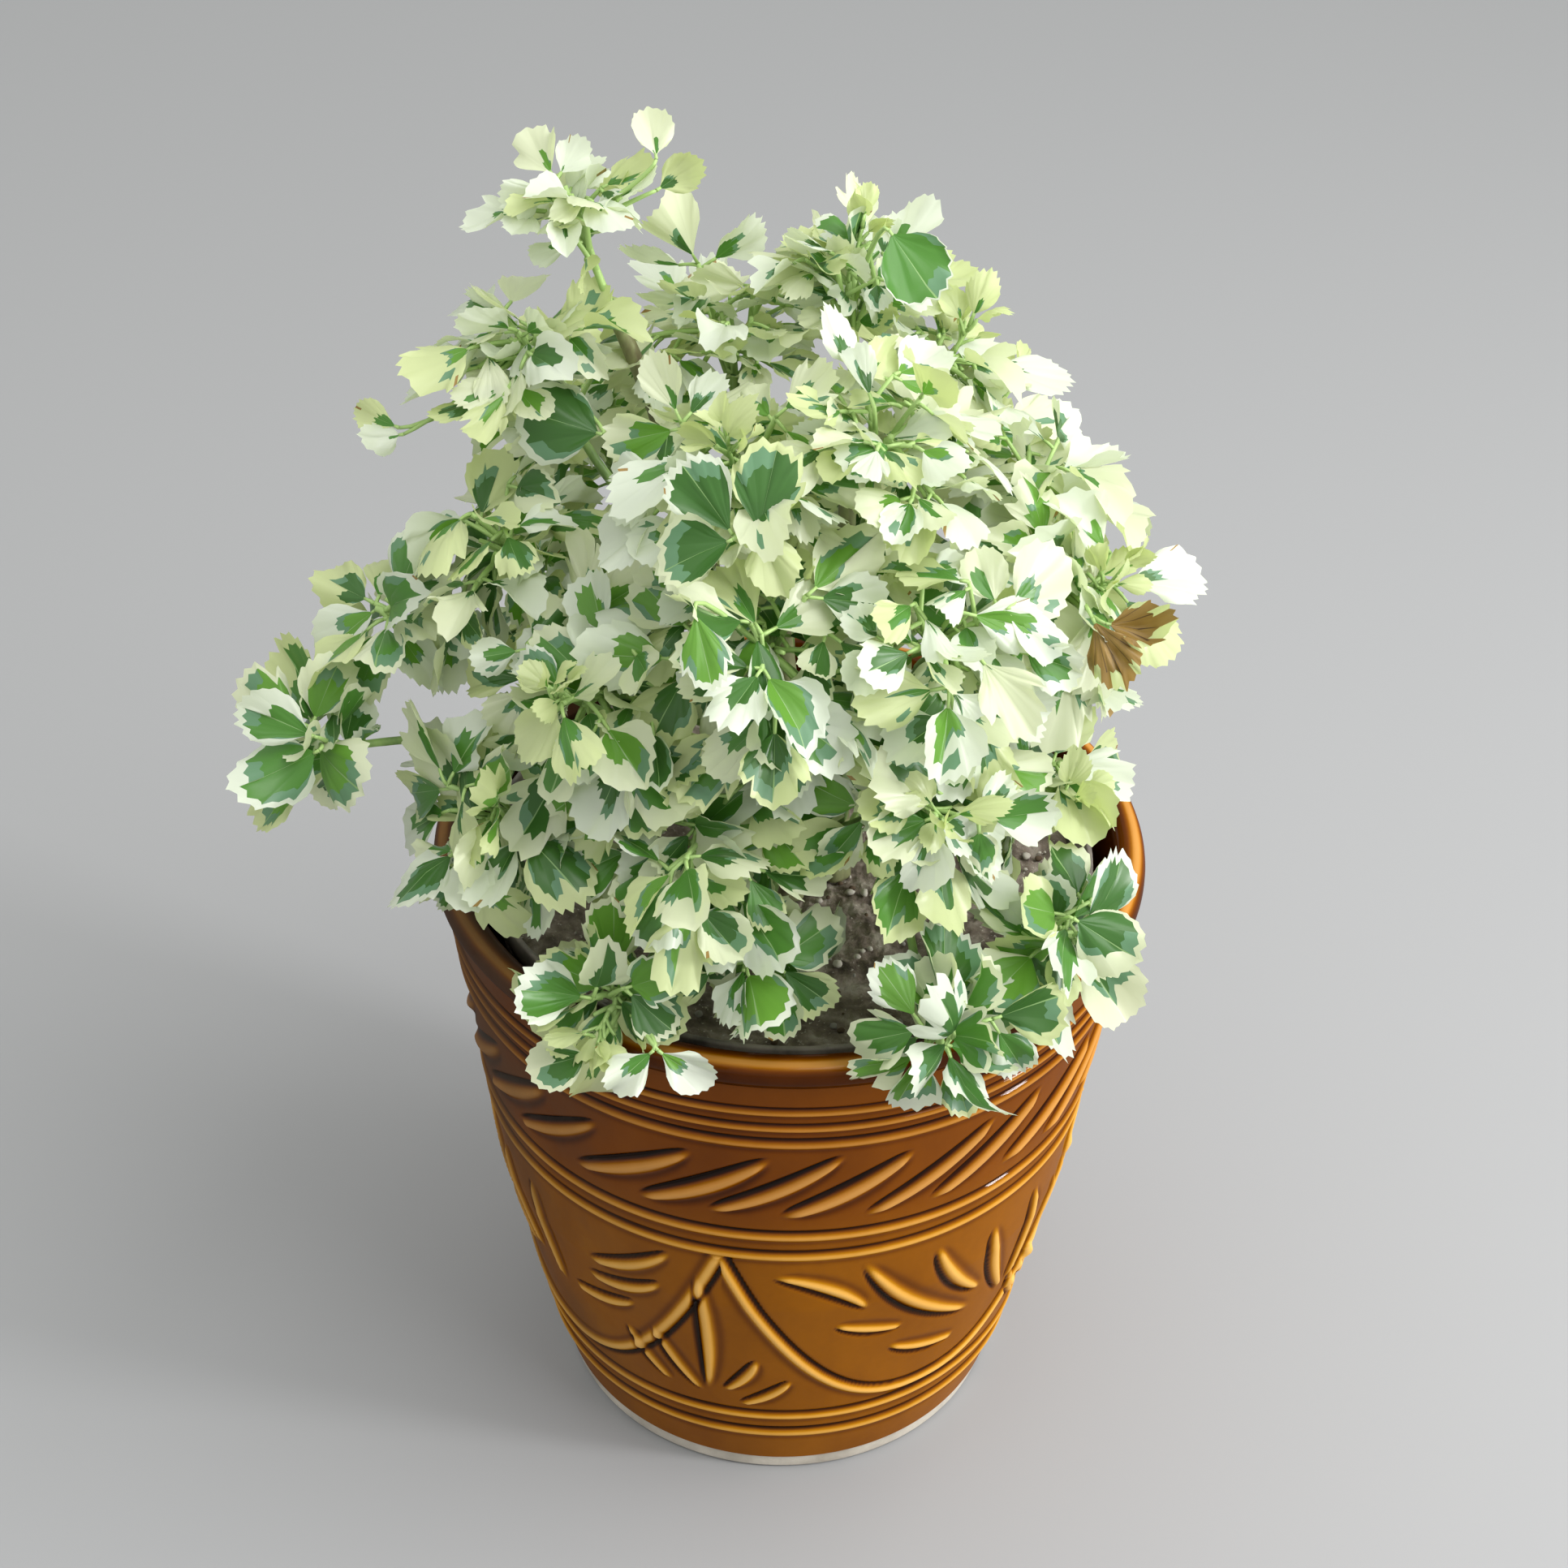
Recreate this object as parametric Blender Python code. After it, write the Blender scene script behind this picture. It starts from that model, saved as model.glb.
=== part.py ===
# A variegated aralia in its glazed pot: a shrub of four short stems, their boughs and
# twenty-eight masses of foliage, in a plastic nursery pot that stands inside the glazed one.
# Metres, +Z up. The origin is the middle of the pot's flat underside.

import math
import random

import bmesh
import bpy
import numpy as np
from mathutils.bvhtree import BVHTree

MM = 0.001
GAP = 0.0003

# Glazed pot
RIM_RADIUS = 0.085
POT_HEIGHT = 0.1645
FOOT_RADIUS = 0.0565
FOOT_HEIGHT = 0.0050
GLAZE_EDGE_RADIUS = 0.0576
SHOULDER_RADIUS = 0.0616
WAIST_RADIUS = 0.0729
SHOULDER_HEIGHT = 0.020
WAIST_HEIGHT = 0.076
LIP_BULGE = 0.0016
LIP_HEIGHT = 0.011
LIP_INNER_RADIUS = 0.0775
WALL = 0.0062
FLOOR_HEIGHT = 0.009
RIDGE_HEIGHTS = (0.0230, 0.1008, 0.1425)
RIDGE_HALF_WIDTH = 0.0035
RIDGE_PROUD = 0.0008
POT_SIDES = 36
WALL_FLAT = 0.9985

# The carving: beads that stand out of the wall and sink a little way into it
BEAD_PROUD = 0.0010
BEAD_SUNK = 0.0016
BEAD_EDGE = 0.0001
SWAG_COUNT = 4
SWAG_MEETS_AT = -11.0
SWAG_HIGH = 0.0945
SWAG_LOW = 0.0330
SWAG_STEPS = 4
SWAG_HALF_WIDTH = 0.0022
LEAF_BAND_COUNT = 27
LEAF_BAND_START = -13.0
LEAF_BAND_SLANT = 22.0
LEAF_BAND_HEIGHTS = (111.8, 131.5)

# Leaf cuts in and under each swag: start, end and half width, each place an angle in degrees
# from where two swags meet and a height in millimetres
SWAG_SPRAY = (
    ((10, 89), (27, 75), 2.4), ((21, 68), (37, 62), 2.2), ((35, 54), (51, 46), 2.2),
    ((27, 92), (53, 57), 2.6), ((54, 86), (63, 56), 2.4), ((76, 88), (70, 58), 2.4),
    ((-4.6, 86), (-4, 34), 2.4), ((-18, 56), (-9, 34), 2.2), ((13, 54), (3, 35), 2.2),
)

# Nursery pot and its soil
LINER_RIM_RADIUS = 0.0728
LINER_FOOT_RADIUS = 0.0470
LINER_WALL = 0.0014
LINER_HEIGHT = 0.1505
SOIL_LEVEL = 0.151
SOIL_DEPTH = 0.120
LINER_SIDES = 22

# Limbs
STEM_BASE_RADIUS = 0.0031
STEM_TIP_RADIUS = 0.0017
BOUGH_BASE_RADIUS = 0.0014
BOUGH_TIP_RADIUS = 0.0009
STEM_SIDES = 7
BOUGH_SIDES = 5
STEM_STEPS = 8
BOUGH_STEPS = 6
SPINE_STEPS = 3
BOUGH_SPACING = 0.0058

# Foliage
CROWN_HEART = np.array((-0.006, 0.0, 0.215))
USUAL_REACH = 0.030
TWIG_DIRECTIONS = 8
SPINE_RADII = (0.0012, 0.0009)
TWIG_RADII = (0.0008, 0.0007)
LEAF_LENGTH = 0.0235
LEAF_WIDTH = 0.92
LEAF_ROOT_THICKNESS = 0.00055
LEAF_SPREAD = 1.25
LEAF_SUNK = 0.0001
LEAF_ROOTS = (0.0009, 0.0024, 0.0036)
LEAF_ATTEMPTS = 8
LIMB_CLEARANCE = 0.0011
RIM_CLEARANCE = 0.0020
FIRST_SEED = 40
GOLDEN_ANGLE = math.pi * (3 - math.sqrt(5))

# Each stem: its name, where it leaves the soil and where it ends, in millimetres
STEMS = (
    ("stem_left", (-9, 1), (-41, 8, 299)),
    ("stem_centre", (0, -8), (-11, -14, 252)),
    ("stem_right", (11, 0), (11, 9, 273)),
    ("stem_back", (1, 11), (-11, 18, 255)),
)

# Each mass of foliage: its name, its stem, its middle, its reach and how far its bough
# arches up on the way, in millimetres. The first mass of a stem sits on the stem's tip.
MASSES = (
    ("top_left", "stem_left", (-49, 10, 322), 18, 0),
    ("top_middle", "stem_back", (-17, 18, 288), 28, 0),
    ("top_right", "stem_right", (10, 12, 304), 22, 0),
    ("high_front", "stem_centre", (-13, -34, 281), 29, 0),
    ("shoulder_left", "stem_left", (-60, 4, 289), 22, 0),
    ("shoulder_right", "stem_right", (31, 8, 286), 19, 0),
    ("high_right", "stem_right", (52, 2, 259), 22, 0),
    ("high_front_right", "stem_right", (17, -30, 287), 27, 0),
    ("middle_left", "stem_left", (-64, -14, 250), 25, 0),
    ("far_left", "stem_left", (-89, -18, 237), 16, 6),
    ("far_left_low", "stem_left", (-103, -36, 215), 16, 12),
    ("middle_right", "stem_right", (57, -22, 248), 24, 0),
    ("middle_front", "stem_centre", (-6, -54, 253), 29, 0),
    ("middle_front_right", "stem_right", (30, -50, 253), 28, 0),
    ("middle_front_left", "stem_centre", (-41, -48, 238), 29, 0),
    ("low_left", "stem_left", (-65, -47, 204), 24, 2),
    ("low_front", "stem_centre", (-20, -62, 211), 27, 4),
    ("low_front_right", "stem_right", (26, -60, 222), 24, 4),
    ("low_right", "stem_right", (50, -32, 206), 22, 4),
    ("hanging_left", "stem_centre", (-37, -76, 177), 19, 16),
    ("hanging_middle", "stem_centre", (-7, -71, 185), 18, 10),
    ("hanging_front", "stem_right", (32, -87, 178), 17, 24),
    ("hanging_right", "stem_right", (57, -60, 185), 19, 16),
    ("back_left", "stem_back", (-48, 40, 247), 30, 0),
    ("back_right", "stem_back", (37, 40, 247), 29, 0),
    ("back_low_left", "stem_left", (-51, 43, 203), 26, 8),
    ("back_low_right", "stem_right", (48, 41, 203), 26, 8),
    ("back_middle", "stem_back", (-2, 61, 220), 28, 4),
)


def unit(vector):
    return vector / np.linalg.norm(vector)


def arc(start, control, end, steps):
    """Points of the quadratic curve that leaves start towards control and ends at end."""
    t = np.linspace(0.0, 1.0, steps + 1)[:, None]
    return (1 - t) ** 2 * start + 2 * t * (1 - t) * control + t ** 2 * end


def point_on(path, fraction):
    """The point that lies the given fraction of the steps along a path."""
    place = fraction * (len(path) - 1)
    step = min(int(place), len(path) - 2)
    return path[step] + (path[step + 1] - path[step]) * (place - step)


def taper(path, first, last):
    """A radius for each point of a path, falling evenly with the length passed."""
    steps = np.linalg.norm(np.diff(path, axis=0), axis=1)
    passed = np.concatenate(([0.0], np.cumsum(steps))) / steps.sum()
    return first + (last - first) * passed


def stem_path(foot, tip):
    """A stem leaves the soil upright and leans further out as it rises."""
    low = np.array((foot[0], foot[1], 0.0)) * MM
    low[2] = SOIL_LEVEL + GAP
    high = np.array(tip) * MM
    control = np.array((low[0], low[1], (low[2] + high[2]) / 2))
    return arc(low, control, high, STEM_STEPS)


def bough_path(stem, centre, reach, arch, taken):
    """A bough leaves its stem's side outwards and up, and ends at its mass's inner edge.

    The lower and wider the mass, the lower the bough starts, and it starts no nearer than
    BOUGH_SPACING to a level that another bough of the stem has taken.
    """
    lowest, highest = stem[0, 2] + 0.007, stem[-1, 2] - 0.014
    spread = np.hypot(*(centre - stem[STEM_STEPS // 2])[:2])
    wanted = min(max(centre[2] - 0.75 * spread - 0.9 * reach, lowest), highest)
    levels = np.arange(lowest, highest, MM)
    free = [z for z in levels if all(abs(z - other) >= BOUGH_SPACING for other in taken)]
    level = min(free, key=lambda z: abs(z - wanted))
    taken.append(level)

    fraction = np.interp(level, stem[:, 2], np.linspace(0.0, 1.0, len(stem)))
    here = point_on(stem, fraction)
    way = centre - here
    out = unit(np.array((way[0], way[1], 0.0)))
    rise = unit(out + np.array((0.0, 0.0, 0.65)))
    radius = STEM_BASE_RADIUS + (STEM_TIP_RADIUS - STEM_BASE_RADIUS) * fraction
    lean = (stem[-1] - stem[0])[:2].dot(out[:2]) / (stem[-1] - stem[0])[2]
    start = here + out * (radius + BOUGH_BASE_RADIUS * (rise[2] + max(lean, 0.0)) + GAP)
    end = centre - unit(way) * reach * 0.6
    length = np.linalg.norm(end - start)
    control = start + rise * length * 0.45 + np.array((0.0, 0.0, arch * MM))
    return arc(start, control, end, BOUGH_STEPS)


class Crown:
    """Each mass's own space, and the limbs and the pot that foliage keeps clear of.

    A point is in a mass's space where its squared distance to that mass's middle, less the
    reach squared, is smaller than it is for any other mass. These spaces have flat sides.
    """

    def __init__(self, centres, reaches, limbs):
        self.centres = centres
        self.reaches = reaches
        self.starts = np.concatenate([path[:-1] for path, _ in limbs])
        self.ways = np.concatenate([np.diff(path, axis=0) for path, _ in limbs])
        self.radii = np.concatenate([radii[:-1] for _, radii in limbs])

    def in_space(self, points, index):
        squares = ((points[:, None] - self.centres) ** 2).sum(-1) - self.reaches ** 2
        apart = np.linalg.norm(self.centres - self.centres[index], axis=1)
        others = np.arange(len(apart)) != index
        inside = (squares[:, others] - squares[:, [index]]) / (2 * apart[others])
        return inside.min() > GAP

    def clear_of_limbs(self, points):
        offsets = points[:, None] - self.starts
        along = (offsets * self.ways).sum(-1) / (self.ways ** 2).sum(-1)
        nearest = np.clip(along, 0, 1)[..., None] * self.ways
        apart = np.linalg.norm(offsets - nearest, axis=-1) - self.radii
        return apart.min() > LIMB_CLEARANCE

    def clear_of_pot(self, points):
        ring = np.hypot(points[:, 0], points[:, 1])
        height = points[:, 2]
        over_wall = (ring > LINER_RIM_RADIUS - RIM_CLEARANCE) & (ring < RIM_RADIUS + RIM_CLEARANCE)
        in_wall = over_wall & (height < POT_HEIGHT + RIM_CLEARANCE)
        in_soil = (ring <= LINER_RIM_RADIUS) & (height < SOIL_LEVEL + 2 * RIM_CLEARANCE)
        return not (in_wall.any() or in_soil.any())


def leaf_outline(root, along, facing, length, droop, sunk):
    """A leaf's six corners: two at its root edge, then its outline from left to right.

    The outline is a fan, widest at three fifths of the length, with a blunt end that
    droops. The root edge stands across the blade, so the leaf thins out from there.
    """
    side = np.cross(facing, along)
    half = length * LEAF_WIDTH / 2
    back = root - along * sunk
    thick = facing * LEAF_ROOT_THICKNESS / 2
    shoulder = root + along * length * 0.62 - facing * droop * length * 0.12
    end = root + along * length * 0.98 - facing * droop * length * 0.34
    return np.array((back + thick, back - thick, shoulder + side * half,
                     end + side * half * 0.45, end - side * half * 0.45, shoulder - side * half))


LEAF_FACES = ((0, 5, 4), (0, 4, 3), (0, 3, 2), (1, 2, 3), (1, 3, 4), (1, 4, 5), (0, 2, 1), (0, 1, 5))
LEAF_EDGES = ((0, 2), (0, 3), (0, 4), (0, 5), (2, 3), (3, 4), (4, 5))


def leaf_samples(leaf):
    """The corners of a leaf with points between them, close enough to test for a touch."""
    between = [leaf[a] + (leaf[b] - leaf[a]) * t for a, b in LEAF_EDGES for t in (0.2, 0.4, 0.6, 0.8)]
    return np.concatenate((leaf, between, [leaf[2:].mean(0)]))


def even_direction(number, count, turn):
    """One of count directions spread evenly over a sphere along a golden spiral."""
    height = 1 - (2 * number + 1) / count
    ring = math.sqrt(1 - height * height)
    angle = GOLDEN_ANGLE * number + turn
    return np.array((ring * math.cos(angle), ring * math.sin(angle), height))


def random_offset(rng, size):
    return np.array([rng.uniform(-size, size) for _ in range(3)])


def leaf_frame(rng, heading, outward, attempt):
    """The way a leaf points and the way it faces: outwards and up, each a little its own."""
    upward = np.array((0.0, 0.0, 0.6))
    facing = unit(outward * 0.8 + upward + random_offset(rng, 0.5 + 0.1 * attempt))
    along = heading - facing * heading.dot(facing)
    if np.linalg.norm(along) < 0.2:
        along = np.cross(facing, random_offset(rng, 1.0))
    return unit(along), facing


def grow_twig(crown, index, start, end):
    """A side twig, shortened until it fits its mass's space."""
    for share in (1.0, 0.8, 0.6):
        samples = np.linspace(start, start + (end - start) * share, 9)
        if crown.in_space(samples, index) and crown.clear_of_limbs(samples):
            if crown.clear_of_pot(samples):
                return samples[[0, -1]]
    return None


def grow_leaf(crown, index, rng, twig, angle, size, root, others):
    """A leaf at a twig's end, turned a few times until it fits its mass's space.

    It also keeps clear of the leaves and twigs that the mass has elsewhere.
    """
    heading = unit(twig[-1] - twig[-2])
    outward = unit(twig[-1] - CROWN_HEART)
    for attempt in range(LEAF_ATTEMPTS):
        along, facing = leaf_frame(rng, heading, outward, attempt)
        aim = along * math.cos(angle) + np.cross(facing, along) * math.sin(angle)
        droop = rng.uniform(0.2, 1.0)
        leaf = leaf_outline(root, aim, facing, size * (1 - 0.04 * attempt), droop, LEAF_SUNK)
        samples = leaf_samples(leaf)
        if not (crown.in_space(leaf, index) and crown.clear_of_pot(samples)):
            continue
        if not crown.clear_of_limbs(samples):
            continue
        shell = surface(leaf, LEAF_FACES)
        if not any(shell.overlap(other) for other in others):
            return leaf
    return None


def surface(points, faces):
    return BVHTree.FromPolygons([tuple(point) for point in points], faces)


def grow_spine(crown, foot, heading, end, reach):
    """A mass's own stem, from its limb's tip to its middle, aside where a limb is in its way."""
    for shift in (0.0, -0.3, 0.3, -0.5, 0.5):
        aim = end + np.array((0.0, 0.0, shift)) * reach
        spine = arc(foot, foot + heading * reach * 0.4, aim, SPINE_STEPS)
        samples = arc(foot, foot + heading * reach * 0.4, aim, 5 * SPINE_STEPS)
        if crown.clear_of_limbs(samples[4:]):
            break
    return spine


def grow_mass(crown, index, limb):
    """The twigs and leaves of one mass, by the seeded rule.

    A short stem carries on from the limb's tip into the mass. Side twigs leave it for
    evenly spread points near the mass's edge, and each ends in a leaf with one to each side.
    """
    rng = random.Random(FIRST_SEED + index)
    centre, reach = crown.centres[index], crown.reaches[index]
    outward = unit(centre - CROWN_HEART)
    heading = unit(limb[-1] - limb[-2])
    spine = grow_spine(crown, limb[-1] + heading * GAP, heading, centre + outward * reach * 0.2, reach)
    turn = rng.uniform(0, 2 * math.pi)
    count = round(TWIG_DIRECTIONS * reach / USUAL_REACH)
    ways = [even_direction(number, count, turn) for number in range(count)]
    ways = [way for way in ways if way.dot(outward) > -0.25]
    twigs = []
    for number, way in enumerate(ways):
        start = point_on(spine, 0.3 + 0.65 * (number + 0.5) / len(ways))
        twig = grow_twig(crown, index, start, centre + way * (reach - LEAF_LENGTH * 0.52))
        if twig is not None:
            twigs.append(twig)
    shells = [[surface(*tube_shape(twig, taper(twig, *TWIG_RADII), 3))] for twig in twigs]
    spine_shell = surface(*tube_shape(spine, taper(spine, *SPINE_RADII), 3))
    leaves = []
    for place, angle in enumerate((0.0, LEAF_SPREAD, -LEAF_SPREAD)):
        for number, twig in enumerate(twigs):
            size = LEAF_LENGTH * (0.88 if place else 1.0) * rng.uniform(0.88, 1.1)
            root = twig[-1] - unit(twig[-1] - twig[-2]) * LEAF_ROOTS[place]
            others = [shell for group in shells[:number] + shells[number + 1:] for shell in group]
            others.append(spine_shell)
            leaf = grow_leaf(crown, index, rng, twig, angle, size, root, others)
            if leaf is not None:
                leaves.append(leaf)
                shells[number].append(surface(leaf, LEAF_FACES))
    return spine, twigs, leaves


def make_material(name, colour, roughness, metallic=0.0):
    material = bpy.data.materials.new(name)
    material.use_nodes = True
    shader = material.node_tree.nodes["Principled BSDF"]
    shader.inputs["Base Color"].default_value = (*colour, 1.0)
    shader.inputs["Roughness"].default_value = roughness
    shader.inputs["Metallic"].default_value = metallic
    return material


def make_object(name, points, faces, material, parent=None):
    mesh = bpy.data.meshes.new(name)
    mesh.from_pydata([tuple(point) for point in points], [], faces)
    mesh.update()
    piece = bpy.data.objects.new(name, mesh)
    bpy.context.collection.objects.link(piece)
    if material is not None:
        mesh.materials.append(material)
    piece.parent = parent
    return piece


def tube_shape(path, radii, sides):
    """Rings of points square to a path, joined into a closed limb with flat ends."""
    tangents = np.gradient(path, axis=0)
    tangents /= np.linalg.norm(tangents, axis=1)[:, None]
    side = unit(np.cross(tangents[0], (0.31, 0.85, 0.42)))
    points = []
    for place, tangent, radius in zip(path, tangents, radii):
        side = unit(side - tangent * side.dot(tangent))
        other = np.cross(tangent, side)
        for number in range(sides):
            angle = 2 * math.pi * number / sides
            points.append(place + (side * math.cos(angle) + other * math.sin(angle)) * radius)
    faces = [tuple(range(sides - 1, -1, -1))]
    for ring in range(len(path) - 1):
        for number in range(sides):
            a, b = ring * sides + number, ring * sides + (number + 1) % sides
            faces.append((a, b, b + sides, a + sides))
    faces.append(tuple(range((len(path) - 1) * sides, len(path) * sides)))
    return points, faces


def make_tube(name, path, radii, sides, material, parent=None):
    points, faces = tube_shape(path, radii, sides)
    piece = make_object(name, points, faces, material, parent)
    piece.data.shade_smooth()
    piece.data.set_sharp_from_angle(angle=math.radians(50))
    return piece


def make_turned(name, profile, sides, material, parent):
    """A closed profile in the XZ plane, from its axis round its outside and back, turned."""
    shape = bmesh.new()
    ring = [shape.verts.new((radius, 0.0, height)) for radius, height in profile]
    edges = [shape.edges.new(pair) for pair in zip(ring[:-1], ring[1:])]
    bmesh.ops.spin(shape, geom=ring + edges, cent=(0, 0, 0), axis=(0, 0, 1),
                   angle=2 * math.pi, steps=sides, use_merge=True)
    bmesh.ops.remove_doubles(shape, verts=shape.verts, dist=1e-6)
    bmesh.ops.recalc_face_normals(shape, faces=shape.faces)
    mesh = bpy.data.meshes.new(name)
    shape.to_mesh(mesh)
    shape.free()
    mesh.materials.append(material)
    mesh.shade_smooth()
    mesh.set_sharp_from_angle(angle=math.radians(40))
    piece = bpy.data.objects.new(name, mesh)
    bpy.context.collection.objects.link(piece)
    piece.parent = parent
    return piece


def on_wall(angle, height, proud):
    """A point on the pot's wall, its angle in degrees from the front towards the right."""
    turn = math.radians(angle)
    radius = wall_radius(height) * WALL_FLAT + proud
    return np.array((radius * math.sin(turn), -radius * math.cos(turn), height))


def leaf_bead(start, end, half_width):
    """The raised edge of a leaf-shaped cut: pointed ends on the wall and a crest halfway.

    Its corners are the two ends, an edge to each side, the crest, and a root in the wall.
    """
    angle, height = (start[0] + end[0]) / 2, (start[1] + end[1]) / 2 * MM
    radius = wall_radius(height)
    run = math.radians(end[0] - start[0]) * radius
    rise = (end[1] - start[1]) * MM
    length = math.hypot(run, rise)
    across = half_width * MM * np.array((-rise, run)) / length
    turn = math.degrees(across[0] / radius)
    points = (on_wall(start[0], start[1] * MM, -BEAD_EDGE), on_wall(end[0], end[1] * MM, -BEAD_EDGE),
              on_wall(angle + turn, height + across[1], -BEAD_EDGE),
              on_wall(angle - turn, height - across[1], -BEAD_EDGE),
              on_wall(angle, height, BEAD_PROUD), on_wall(angle, height, -BEAD_SUNK))
    faces = ((0, 4, 2), (4, 1, 2), (3, 1, 4), (3, 4, 0), (0, 2, 5), (2, 1, 5), (1, 3, 5), (3, 0, 5))
    return points, faces


def line_bead(places, half_width):
    """A raised line along places on the wall: a three-cornered limb with its crest outwards."""
    points = []
    flat = np.array([(math.radians(angle) * wall_radius(height), height) for angle, height in places])
    ways = np.gradient(flat, axis=0)
    ways /= np.linalg.norm(ways, axis=1)[:, None]
    for (angle, height), way in zip(places, ways):
        across = np.array((-way[1], way[0])) * half_width
        turn = math.degrees(across[0] / wall_radius(height))
        points += [on_wall(angle, height, BEAD_PROUD), on_wall(angle + turn, height + across[1], -BEAD_SUNK),
                   on_wall(angle - turn, height - across[1], -BEAD_SUNK)]
    last = 3 * len(places) - 3
    faces = [(0, 1, 2), (last + 2, last + 1, last)]
    for ring in range(0, last, 3):
        for side in range(3):
            after = (side + 1) % 3
            faces.append((ring + after, ring + side, ring + side + 3, ring + after + 3))
    return points, faces


def swag_beads(first_angle):
    """The two halves of a swag's line: it falls from where two swags meet to its middle."""
    width = 360 / SWAG_COUNT
    shapes = []
    for hand in (-1, 1):
        places = []
        for step in range(SWAG_STEPS + 1):
            share = hand * step / SWAG_STEPS
            fall = SWAG_LOW + (SWAG_HIGH - SWAG_LOW) * abs(share) ** 2.6
            places.append((first_angle + width * (share + 1) / 2, fall))
        shapes.append(line_bead(places, SWAG_HALF_WIDTH))
    return shapes


def carving_beads():
    """Beads for a band of slanted leaves, for the swags below it and for their sprays."""
    shapes = []
    for number in range(LEAF_BAND_COUNT):
        angle = 360 / LEAF_BAND_COUNT * number + LEAF_BAND_START
        low, high = LEAF_BAND_HEIGHTS
        shapes.append(leaf_bead((angle, low), (angle + LEAF_BAND_SLANT, high), 2.4))
    for number in range(SWAG_COUNT):
        angle = SWAG_MEETS_AT + 360 / SWAG_COUNT * number
        shapes += swag_beads(angle)
        for (a0, z0), (a1, z1), half_width in SWAG_SPRAY:
            shapes.append(leaf_bead((angle + a0, z0), (angle + a1, z1), half_width))
    return shapes


def wall_radius(height):
    """The pot's outside: it tucks in at the foot and widens steadily above the waist."""
    heights = (FOOT_HEIGHT, SHOULDER_HEIGHT, WAIST_HEIGHT, POT_HEIGHT)
    radii = (GLAZE_EDGE_RADIUS, SHOULDER_RADIUS, WAIST_RADIUS, RIM_RADIUS - LIP_BULGE)
    return float(np.interp(height, heights, radii))


def pot_profile():
    profile = [(0.0, 0.0), (FOOT_RADIUS - 0.0015, 0.0), (FOOT_RADIUS, 0.0010),
               (FOOT_RADIUS, FOOT_HEIGHT), (GLAZE_EDGE_RADIUS, FOOT_HEIGHT + 0.0006)]
    for middle in RIDGE_HEIGHTS:
        for offset, proud in ((-RIDGE_HALF_WIDTH, 0.0), (0.0, RIDGE_PROUD), (RIDGE_HALF_WIDTH, 0.0)):
            profile.append((wall_radius(middle + offset) + proud, middle + offset))
    lip_foot = POT_HEIGHT - LIP_HEIGHT
    lip_middle = (RIM_RADIUS + LIP_INNER_RADIUS) / 2
    profile += [(wall_radius(lip_foot), lip_foot), (RIM_RADIUS, POT_HEIGHT - 0.0040),
                (RIM_RADIUS - 0.0006, POT_HEIGHT - 0.0015), (lip_middle + 0.001, POT_HEIGHT),
                (lip_middle - 0.001, POT_HEIGHT), (LIP_INNER_RADIUS, POT_HEIGHT - 0.0015),
                (LIP_INNER_RADIUS - 0.0005, lip_foot)]
    for height in (WAIST_HEIGHT, FLOOR_HEIGHT + 0.006):
        profile.append((wall_radius(height) - WALL, height))
    profile += [(wall_radius(FLOOR_HEIGHT) - WALL - 0.004, FLOOR_HEIGHT), (0.0, FLOOR_HEIGHT)]
    return profile


def liner_profile():
    foot = FLOOR_HEIGHT + GAP
    rim = foot + LINER_HEIGHT
    inner = LINER_RIM_RADIUS - LINER_WALL
    return [(0.0, foot), (LINER_FOOT_RADIUS - 0.001, foot), (LINER_FOOT_RADIUS, foot + 0.001),
            (LINER_RIM_RADIUS - 0.0012, rim - 0.0060), (LINER_RIM_RADIUS, rim - 0.0058),
            (LINER_RIM_RADIUS, rim), (inner, rim),
            (LINER_FOOT_RADIUS - LINER_WALL, foot + LINER_WALL), (0.0, foot + LINER_WALL)]


def soil_profile():
    """The root ball: it fills the nursery pot to a flat top, and stays GAP clear of it."""
    foot = FLOOR_HEIGHT + 2 * GAP + LINER_WALL
    rim = FLOOR_HEIGHT + GAP + LINER_HEIGHT
    slope = (LINER_RIM_RADIUS - LINER_FOOT_RADIUS) / (rim - foot + GAP)
    top = LINER_FOOT_RADIUS - LINER_WALL - 2 * GAP + slope * (SOIL_LEVEL - foot)
    return [(0.0, foot), (LINER_FOOT_RADIUS - LINER_WALL - 3 * GAP, foot),
            (top, SOIL_LEVEL), (0.0, SOIL_LEVEL)]


def fuse(body, shapes):
    """Joins shapes into a body by one union, which leaves a closed solid of triangles."""
    parts = bpy.data.collections.new(body.name + "_parts")
    bpy.context.scene.collection.children.link(parts)
    for number, (points, faces) in enumerate(shapes):
        part = make_object(f"{body.name}_part_{number}", points, faces, None)
        bpy.context.collection.objects.unlink(part)
        parts.objects.link(part)
    union = body.modifiers.new("Fuse parts", "BOOLEAN")
    union.operation = "UNION"
    union.operand_type = "COLLECTION"
    union.collection = parts
    union.solver = "MANIFOLD"
    shape = bmesh.new()
    shape.from_object(body, bpy.context.evaluated_depsgraph_get())
    body.modifiers.remove(union)
    keep_one_body(shape)
    shape.to_mesh(body.data)
    shape.free()
    for part in list(parts.objects):
        mesh = part.data
        bpy.data.objects.remove(part)
        bpy.data.meshes.remove(mesh)
    bpy.data.collections.remove(parts)


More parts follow.
